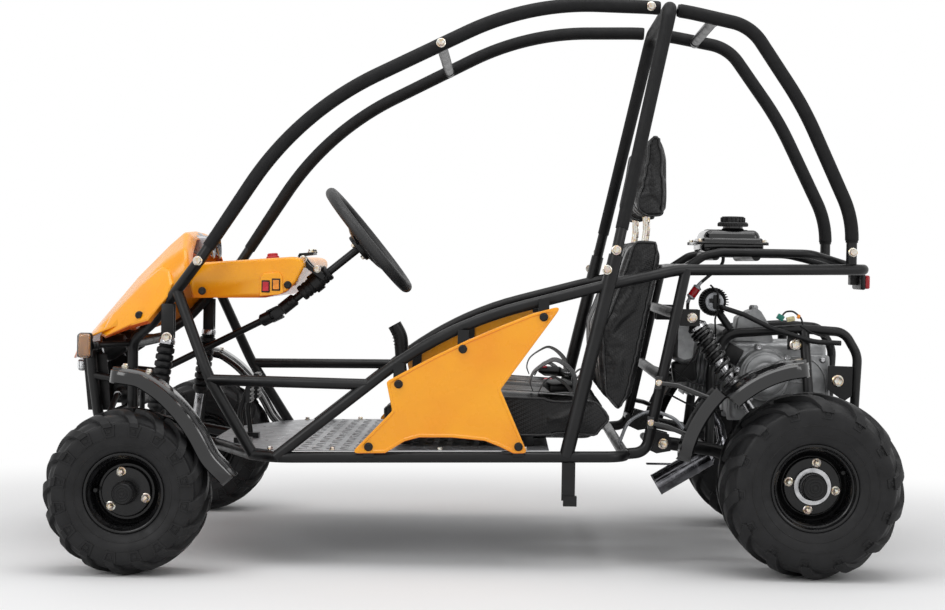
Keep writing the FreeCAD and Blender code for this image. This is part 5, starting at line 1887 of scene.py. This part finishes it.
damper_bolts = [(rear_top + left * 0.0275, left), (rear_low + left * 0.024, left), (front_top + left * 0.0125, left),
                (Vector((0.444, -0.325, 0.279)), left)]
fit_bolts("damper_bolts", damper_bolts + [(mirror @ p, -d) for p, d in damper_bolts], 0.0165, zinc)
print("dampers: 4, rear spring of", len(coil_rises), "turns")

# %% [markdown]
# ## Engine
# The engine is a single cylinder lying towards the seats. Its cases are cast alloy with a round flywheel cover,
# a second cover behind it, and a tall neck cast on top. In front of the cylinder is the intake casting. Fins
# round the cylinder cool it, and the finned round unit above is the breather.

# %% Cases, covers and cylinder
engine_x = 0.698
engine_z = 0.429
cases = Kit()
cases.add(block((0.230, 0.224, 0.187), 0.016, 3), Matrix.Translation((0.735, 0, 0.4115)))
cases.add(block((0.236, 0.012, 0.193), 0.005, 2), Matrix.Translation((0.735, -0.075, 0.4115)))
cases.add(block((0.236, 0.012, 0.193), 0.005, 2), Matrix.Translation((0.735, 0.030, 0.4115)))
cases.add(block((0.050, 0.080, 0.024), 0.004, 2), Matrix.Translation((0.8717, 0, 0.400)))
cases.add(block((0.058, 0.060, 0.0247), 0.004, 2), Matrix.Translation((0.621, 0, 0.5044)))
neck = round_corners([(0.628, 0.505), (0.636, 0.562), (0.662, 0.578), (0.682, 0.586), (0.694, 0.578), (0.716, 0.543),
                      (0.726, 0.500)], 0.008, 3)
cases.add(slab(neck, -0.092, -0.030))
cases.add(slab(inset(neck, 0.003), -0.098, -0.024))
cases.add(lathe([(0, 0), (0.011, 0), (0.011, 0.008), (0.008, 0.012), (0, 0.012)], 24, closed=False),
          facing((0.680, -0.060, 0.580), (0, 0, 1)))
for k in range(6):
    cases.add(block((0.004, 0.018, 0.115), 0.0015, 1), Matrix.Translation((0.634 + k * 0.006, -0.113, 0.402)))
for k in range(5):
    cases.add(block((0.130, 0.226, 0.004), 0.0015, 1), Matrix.Translation((0.770, 0, 0.350 + k * 0.030)))
make("crankcase_casting", cases, alloy, "chassis", "engine_alloy", 34, ["crankcase"], round_edges=0.0012)

covers = Kit()
round_place = facing((engine_x, 0, engine_z), left)
covers.add(lathe([(0, 0.158), (0.026, 0.158), (0.028, 0.1572), (0.030, 0.1572), (0.032, 0.158), (0.045, 0.158),
                  (0.048, 0.1565), (0.0485, 0.1515), (0.053, 0.1508), (0.055, 0.1490), (0.059, 0.1480),
                  (0.0615, 0.1440), (0.062, 0.1180), (0.067, 0.1175), (0.067, 0.1130), (0, 0.1130)], 96, closed=False),
           round_place)
cover_screws = []
for k in range(5):
    a = math.radians(35 + 68 * k)
    at = Vector((engine_x + 0.0655 * math.cos(a), -0.112, engine_z + 0.0655 * math.sin(a)))
    covers.add(lathe([(0, 0), (0.0085, 0), (0.0085, 0.030), (0.0075, 0.031), (0, 0.031)], 20, closed=False),
               facing(at, left))
    cover_screws.append((at + left * 0.031, left))
rear_cover = round_corners([(0.800, 0.374), (0.798, 0.478), (0.851, 0.478), (0.853, 0.374)], 0.009, 4)
cover_steps = [(0.0, -0.1123), (0.0, -0.140), (0.0015, -0.1435), (0.004, -0.1455)]
covers.add(loft([[(x, y, z) for x, z in inset(rear_cover, draw)] for draw, y in cover_steps]))
ridge = [(0.800 + 0.044 * math.cos(a), -0.1465, 0.392 + 0.074 * math.sin(a))
         for a in (math.radians(88 - 9 * k) for k in range(11))]
covers.add(bar(ridge, 0.0020, 8))
covers.add(lathe([(0, 0), (0.0075, 0), (0.0075, 0.034), (0.006, 0.036), (0, 0.036)], 20, closed=False),
           facing((0.834, -0.112, 0.4665), left))
cover_screws.append((Vector((0.834, -0.148, 0.4665)), left))
make("engine_side_covers", covers, alloy, "chassis", "engine_alloy", 30, ["engine_covers"])
fit_bolts("engine_cover_screws", cover_screws, 0.0085, steel)

cylinder = Kit()
barrel_way = Vector((-0.111, 0, 0.016)).normalized()
barrel_place = facing((0.616, 0, 0.420), barrel_way)
cylinder.add(lathe([(0, 0), (0.042, 0), (0.042, 0.108), (0.030, 0.116), (0, 0.116)], 48, closed=False), barrel_place)
for k in range(9):
    cylinder.add(block((0.122, 0.122, 0.0030), 0.0013, 1), barrel_place @ Matrix.Translation((0, 0, 0.008 + k * 0.0108)))
make("cylinder_fins", cylinder, alloy, "chassis", "engine_alloy", 34, ["cylinder"])
boxes = Kit()
boxes.add(block((0.040, 0.014, 0.042), 0.003, 2), Matrix.Translation((0.622, -0.132, 0.476))
          @ Matrix.Rotation(math.radians(28), 4, "Y"))
boxes.add(block((0.058, 0.040, 0.050), 0.008, 3), Matrix.Translation((0.511, -0.098, 0.432))
          @ Matrix.Rotation(math.radians(-6), 4, "Y"))
boxes.add(lathe([(0, 0), (0.010, 0), (0.010, 0.022), (0.006, 0.030), (0.004, 0.052), (0, 0.052)], 24, closed=False),
          facing((0.508, -0.020, 0.430), (-0.35, -0.9, 0.2)))
make("engine_black_boxes", boxes, plastic, "chassis", "plastic_black", 34)
dome = Kit()
dome_rows = []
for k, (draw, y) in enumerate([(0.0, -0.086), (0.0, -0.118), (0.003, -0.134), (0.007, -0.144), (0.012, -0.149)]):
    edge = round_corners([(0.4785, 0.460), (0.479, 0.548), (0.512, 0.555), (0.531, 0.535), (0.541, 0.500),
                          (0.536, 0.456), (0.506, 0.449)], 0.018, 4)
    dome_rows.append([(x, y, z) for x, z in inset(edge, draw)])
dome.add(loft(dome_rows))
dome.add(lathe([(0.013, 0), (0.019, 0.001), (0.019, 0.010), (0.0165, 0.012), (0.0165, 0.060), (0.019, 0.062),
                (0.019, 0.072), (0, 0.072), (0, 0)], 36, closed=False), facing((0.524, -0.108, 0.522), (0.60, 0.70, -0.1)))
dome.add(bar([(0.572, -0.048, 0.4865), (0.572, -0.048, 0.516)], 0.014, 28))
make("intake_casting", dome, alloy, "chassis", "engine_alloy", 40, ["intake"])
print("engine: cases, 2 covers, 9 fins")

# %% Breather, filter, plugs, hoses and muffler
breather_middle = Vector((0.573, 0, 0.600))
breather_place = facing(breather_middle, left)
breather = Kit()
breather.add(lathe([(0, 0.121), (0.024, 0.121), (0.026, 0.160), (0, 0.160)], 40, closed=False), breather_place)
fin = block((0.0125, 0.0022, 0.044), 0.0007, 1)
for k in range(32):
    breather.add(fin, breather_place @ Matrix.Rotation(2 * math.pi * k / 32, 4, "Z")
                 @ Matrix.Translation((0.0275, 0, 0.148)))
breather.add(lathe([(0.020, 0.121), (0.033, 0.121), (0.033, 0.126), (0.020, 0.126)], 48), breather_place)
breather.add(block((0.010, 0.006, 0.034), 0.002, 2), Matrix.Translation((0.5745, -0.1755, 0.600)))
breather.add(block((0.026, 0.004, 0.010), 0.0015, 2), Matrix.Translation((0.573, -0.1755, 0.603)))
breather.add(bar([(0.573, -0.150, 0.600), (0.590, -0.158, 0.568), (0.612, -0.166, 0.536)], 0.009, 16))
make("breather_fins", breather, plastic, "chassis", "plastic_black", 34, ["breather"])
face = Kit()
face.add(lathe([(0.0, 0.1705), (0.008, 0.1715), (0.017, 0.1725), (0.0215, 0.171), (0.0225, 0.166), (0.0, 0.166)], 48,
               closed=False), breather_place)
face.add(lathe([(0.012, 0.1722), (0.0132, 0.1738), (0.0150, 0.1738), (0.0162, 0.1722)], 48), breather_place)
make("breather_face", face, bezel, "chassis", "bezel_grey", 34)

filter_way = Vector((0.55, 0, 0.83)).normalized()
filter_at = Vector((0.5265, -0.150, 0.6220))
filter_place = facing(filter_at, filter_way)
filter_body = Kit()
filter_body.add(lathe([(0, -0.012), (0.009, -0.012), (0.0098, -0.009), (0.0098, 0.009), (0.009, 0.012), (0, 0.012)],
                      32, closed=False), filter_place)
make("fuel_filter_body", filter_body, red_glass, "chassis", "lamp_red", 40)
filter_ends = Kit()
for side in (-1, 1):
    filter_ends.add(lathe([(0, 0.0115), (0.0104, 0.0115), (0.0104, 0.0150), (0.004, 0.019), (0.0032, 0.030), (0, 0.030)],
                          28, closed=False), facing(filter_at, filter_way * side))
make("fuel_filter_ends", filter_ends, bezel, "chassis", "bezel_grey", 40)

for name, finish, place, size, lean in (
        ("teal_connector", teal_plastic, (0.7275, -0.178, 0.5665), (0.016, 0.014, 0.013), 30),
        ("cream_connector", cream_plastic, (0.7515, -0.178, 0.5630), (0.019, 0.013, 0.011), -12),
        ("amber_connector", amber_plastic, (0.7705, -0.176, 0.5690), (0.007, 0.008, 0.010), 20)):
    plug = Kit()
    plug.add(block(size, 0.0016, 2), Matrix.Translation(place) @ Matrix.Rotation(math.radians(lean), 4, "Y"))
    plug.add(block((size[0] * 0.4, size[1] * 1.2, size[2] * 0.5), 0.001, 1),
             Matrix.Translation(place) @ Matrix.Rotation(math.radians(lean), 4, "Y"))
    make(name, plug, finish, "chassis", "plastic_black", 34)

gear_cable = bent([(0.350, -0.240, 0.271), (0.368, -0.246, 0.322), (0.420, -0.250, 0.352), (0.478, -0.250, 0.330),
                   (0.512, -0.246, 0.292)], 0.060, 12)
vent_hose = bent([(0.588, -0.1763, 0.588), (0.588, -0.1945, 0.588), (0.640, -0.1945, 0.572), (0.707, -0.1945, 0.540),
                  (0.805, -0.1945, 0.511), (0.868, -0.1945, 0.509)], [0.008, 0.080, 0.120, 0.120], 10)
fuel_hose = bent([(0.600, -0.100, 0.718), (0.600, -0.100, 0.690), (0.540, -0.120, 0.640), (0.515, -0.118, 0.600),
                  (0.515, -0.118, 0.5563)], [0.025, 0.040, 0.040], 10)
make("gear_cable", bar(gear_cable, 0.004, 14), bezel, "chassis", "bright_steel", 60, ["cables_and_hoses"])
hoses = Kit()
hoses.add(bar(vent_hose, 0.006, 18))
hoses.add(bar(fuel_hose, 0.004, 14))
make("engine_hoses", hoses, boot_rubber, "chassis", "plastic_black", 60)
wires = Kit()
wire_routes = [
    [(0.730, -0.176, 0.560), (0.736, -0.176, 0.580), (0.758, -0.174, 0.582), (0.777, -0.172, 0.566), (0.782, -0.172, 0.551)],
    [(0.775, -0.180, 0.548), (0.800, -0.186, 0.532), (0.830, -0.183, 0.522), (0.850, -0.181, 0.506), (0.852, -0.180, 0.480)],
    [(0.562, -0.174, 0.640), (0.580, -0.180, 0.622), (0.582, -0.182, 0.590), (0.574, -0.176, 0.560), (0.580, -0.150, 0.500)],
    [(0.480, -0.150, 0.440), (0.520, -0.165, 0.410), (0.560, -0.170, 0.400), (0.590, -0.165, 0.405)],
    [(0.548, -0.150, 0.520), (0.530, -0.160, 0.470), (0.490, -0.170, 0.420), (0.462, -0.175, 0.380)],
    [(0.470, -0.140, 0.380), (0.510, -0.150, 0.360), (0.560, -0.150, 0.345), (0.600, -0.140, 0.342)]]
for route in wire_routes:
    wires.add(bar(bent(route, 0.02, 6), 0.0022, 10))
make("engine_wires", wires, boot_rubber, "chassis", "plastic_black", 60)
frame_bolts = [((0.864, -0.181, 0.420), (0, -1, 0)), ((0.763, -0.1835, 0.503), (0, -1, 0))]
fit_bolts("cradle_bolts", frame_bolts, 0.019, zinc)
cradle_plate = Kit()
cradle_plate.add(block((0.040, 0.008, 0.034), 0.002, 2), Matrix.Translation((0.765, -0.176, 0.508)))
make("cradle_plate", cradle_plate, black_paint, "chassis", "frame_black", 34)

muffler_lean = math.radians(31)
muffler_way = Vector((math.cos(muffler_lean), 0, math.sin(muffler_lean)))
muffler_start = Vector((0.446, -0.128, 0.162))
muffler_end = muffler_start + muffler_way * 0.150
can = Kit()
can.add(lathe([(0.0215, 0.012), (0.0240, 0.001), (0.0265, 0.0), (0.0272, 0.002), (0.0265, 0.005), (0.0265, 0.100),
               (0.0272, 0.101), (0.0272, 0.106), (0.0265, 0.107), (0.0265, 0.143), (0.0200, 0.150), (0, 0.150),
               (0, 0.030), (0.0215, 0.030)], 48, closed=False), facing(muffler_start, muffler_way))
can.add(bar(bent([muffler_end - muffler_way * 0.010, (0.604, -0.128, 0.258), (0.600, -0.090, 0.300),
                  (0.570, -0.052, 0.350), (0.560, -0.044, 0.3617)], [0.025, 0.025, 0.020], 10), 0.012, 24))
for side in (-1, 1):
    can.add(block((0.110, 0.004, 0.004), 0.0015, 1), facing(muffler_start + muffler_way * 0.052
            + Vector((-muffler_way.z, 0, muffler_way.x)) * 0.027 + Vector((0, side * 0.006, 0)), (0, 1, 0)))
make("muffler_can", can, chrome, "chassis", "bright_steel", 34, ["muffler"])
print("breather, filter, 3 plugs, hoses,", len(wire_routes), "wires and the muffler")

# %% [markdown]
# ## Fuel tank and small parts
# The tank is two pressed halves joined at a flange, with swaged ribs on its top and a ribbed screw cap. The
# gear lever has a moulded grip, the pedals have rubber treads, and the floor sheet carries raised tread bars.

# %% Tank, lever, pedals and floor tread
tank = Kit()
tank.add(block((0.148, 0.200, 0.0345), 0.009, 3), Matrix.Translation((0.619, -0.030, 0.7357)))
tank.add(block((0.172, 0.224, 0.0055), 0.0024, 2), Matrix.Translation((0.617, -0.030, 0.739)))
top_steps = [(0.0, 0.7405), (0.0, 0.757), (0.004, 0.765), (0.010, 0.7700), (0.016, 0.7715)]
tank_edge = round_corners([(0.552, -0.122), (0.552, 0.062), (0.686, 0.062), (0.686, -0.122)], 0.020, 6)
tank.add(loft([[(x, y, z) for x, y in inset(tank_edge, draw)] for draw, z in top_steps]))
for y in (-0.010, 0.018, 0.044):
    tank.add(block((0.100, 0.008, 0.0050), 0.0022, 2), Matrix.Translation((0.619, y, 0.7718)))
tank.add(lathe([(0, 0.768), (0.030, 0.768), (0.027, 0.774), (0.024, 0.776), (0.024, 0.7805), (0, 0.7805)], 40,
               closed=False), Matrix.Translation((0.624, -0.080, 0)))
for x, y in ((0.536, -0.136), (0.536, 0.076), (0.698, -0.136), (0.698, 0.076)):
    tank.add(lathe([(0, 0.7355), (0.010, 0.7355), (0.010, 0.7425), (0, 0.7425)], 24, closed=False),
             Matrix.Translation((x + (0.004 if x < 0.6 else -0.004), y + (0.006 if y < 0 else -0.006), 0)))
make("fuel_tank_shell", tank, gloss_black, "chassis", "fender_black", 34, ["fuel_tank"])
cap = Kit()
cap.add(lathe([(0, 0.7803), (0.036, 0.7803), (0.036, 0.788), (0.034, 0.7905), (0.028, 0.7915), (0.028, 0.801),
               (0.026, 0.804), (0.014, 0.8045), (0.013, 0.803), (0, 0.803)], 64, closed=False),
        Matrix.Translation((0.624, -0.080, 0)))
cap_rib = block((0.003, 0.0036, 0.0105), 0.001, 1)
for k in range(18):
    cap.add(cap_rib, Matrix.Translation((0.624, -0.080, 0.7965)) @ Matrix.Rotation(2 * math.pi * k / 18, 4, "Z")
            @ Matrix.Translation((0.0285, 0, 0)))
skirt_rib = block((0.002, 0.0030, 0.0070), 0.0008, 1)
for k in range(36):
    cap.add(skirt_rib, Matrix.Translation((0.624, -0.080, 0.7845)) @ Matrix.Rotation(2 * math.pi * k / 36, 4, "Z")
            @ Matrix.Translation((0.0358, 0, 0)))
make("fuel_cap_ribbed", cap, plastic, "chassis", "plastic_black", 34, ["fuel_cap"])
tank_bolts = [((x, y, 0.7425), (0, 0, 1)) for x in (0.540, 0.694) for y in (-0.130, 0.070)]
fit_bolts("tank_bolts", tank_bolts, 0.010, zinc)

grip_line = bent([(-0.170, 0, 0.456), (-0.174, 0, 0.500), (-0.186, 0, 0.527)], 0.04, 8)
grip_total = lengths(grip_line)[-1]
grip = Kit()
grip_profile = [(0.0, 0.0), (0.003, 0.012), (0.010, 0.0150), (0.5, 0.0145), (0.78, 0.0160), (0.93, 0.0150), (1.0, 0.006)]


def grip_width(along):
    return float(np.interp(along / grip_total, [p[0] for p in grip_profile], [max(0.004, p[1]) for p in grip_profile]))


grip.add(bar(trimmed(grip_line, 0.0, 0.0), grip_width, 24))
for k in range(5):
    share = 0.25 + k * 0.11
    at = Vector(grip_line[0]).lerp(Vector(grip_line[-1]), share) + Vector((0.002, 0, 0))
    grip.add(lathe([(0.0140, -0.0018), (0.0172, -0.0010), (0.0172, 0.0010), (0.0140, 0.0018)], 32),
             facing(at, (-0.15, 0, 1)))
make("gear_lever_grip", grip, plastic, "chassis", "plastic_black", 50)
treads = Kit()
for y in (-0.250, -0.120):
    for k in range(6):
        treads.add(block((0.0035, 0.058, 0.0050), 0.0012, 1), Matrix.Translation((-0.5010, y, 0.3575 + k * 0.0098)))
make("pedal_treads", treads, boot_rubber, "chassis", "plastic_black", 34)
tread_plate = Kit()
tread_rise = 0.014 / 0.775


def pan_height(x):
    """Height of the floor sheet's top, level ahead of the front bend."""
    return 0.2578 + tread_rise * max(0.0, x + 0.421)


for i in range(18):
    for k in range(19):
        x = -0.400 + i * 0.031
        y = -0.385 + k * 0.0425 + (0.021 if i % 2 else 0)
        if x < 0.165 and abs(y) < 0.392:
            turn = math.radians(45 if (i + k) % 2 else -45)
            tread_plate.add(block((0.022, 0.0050, 0.0016), 0.0006, 1),
                            Matrix.Translation((x, y, pan_height(x) + 0.0004)) @ Matrix.Rotation(turn, 4, "Z"))
make("floor_tread_bars", tread_plate, sheet_steel, "chassis", "floor_steel", 34)
pan_bolts = [(x, s * y) for x, y in ((-0.440, 0.390), (-0.300, 0.402), (-0.060, 0.402), (0.130, 0.402)) for s in (-1, 1)]
fit_bolts("floor_bolts", [((x, y, pan_height(x) + 0.0002), (0, 0, 1)) for x, y in pan_bolts], 0.010, zinc)
print("small parts done")

# %% [markdown]
# ## Finishes on the frame
# The parts that stay as the CAD model made them, such as the frame tubes, the axle and the brackets, take the
# finish that their slot in the record names.

# %% Give every remaining part its finish
finish_of_slot = {
    "frame_black": black_paint, "cage_black": sleeve_foam, "body_yellow": yellow, "fender_black": gloss_black,
    "plastic_black": plastic, "bezel_grey": bezel, "seat_vinyl": vinyl, "tyre_rubber": rubber,
    "rim_black": rim_paint, "floor_steel": sheet_steel, "engine_alloy": alloy, "bright_steel": steel,
    "spring_black": gloss_black, "wheel_foam": grip_foam, "belt_webbing": webbing, "lamp_clear": clear_glass,
    "lamp_red": red_glass,
}
for part in frame["record"]["subparts"]:
    for place in cad_nodes[part["node"]].material_slots:
        place.material = finish_of_slot[part["material_slot"]]
shown = [name for name, node in cad_nodes.items() if not node.hide_render]
print("parts kept from the CAD model:", len(shown))

# %% [markdown]
# ## Check the size
# The finished model must fill the same box as the CAD model. Both boxes are written down, so that they can be
# compared.

# %% Compare the sizes and finish
low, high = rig.bounds()
sizes = {"cad_low": list(cad_low), "cad_high": list(cad_high), "low": list(low), "high": list(high)}
with open("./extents.json", "w") as out:
    json.dump(sizes, out, indent=1)
print("size grows by", [round(v * 1000, 1) for v in (high - low) - (cad_high - cad_low)], "mm")
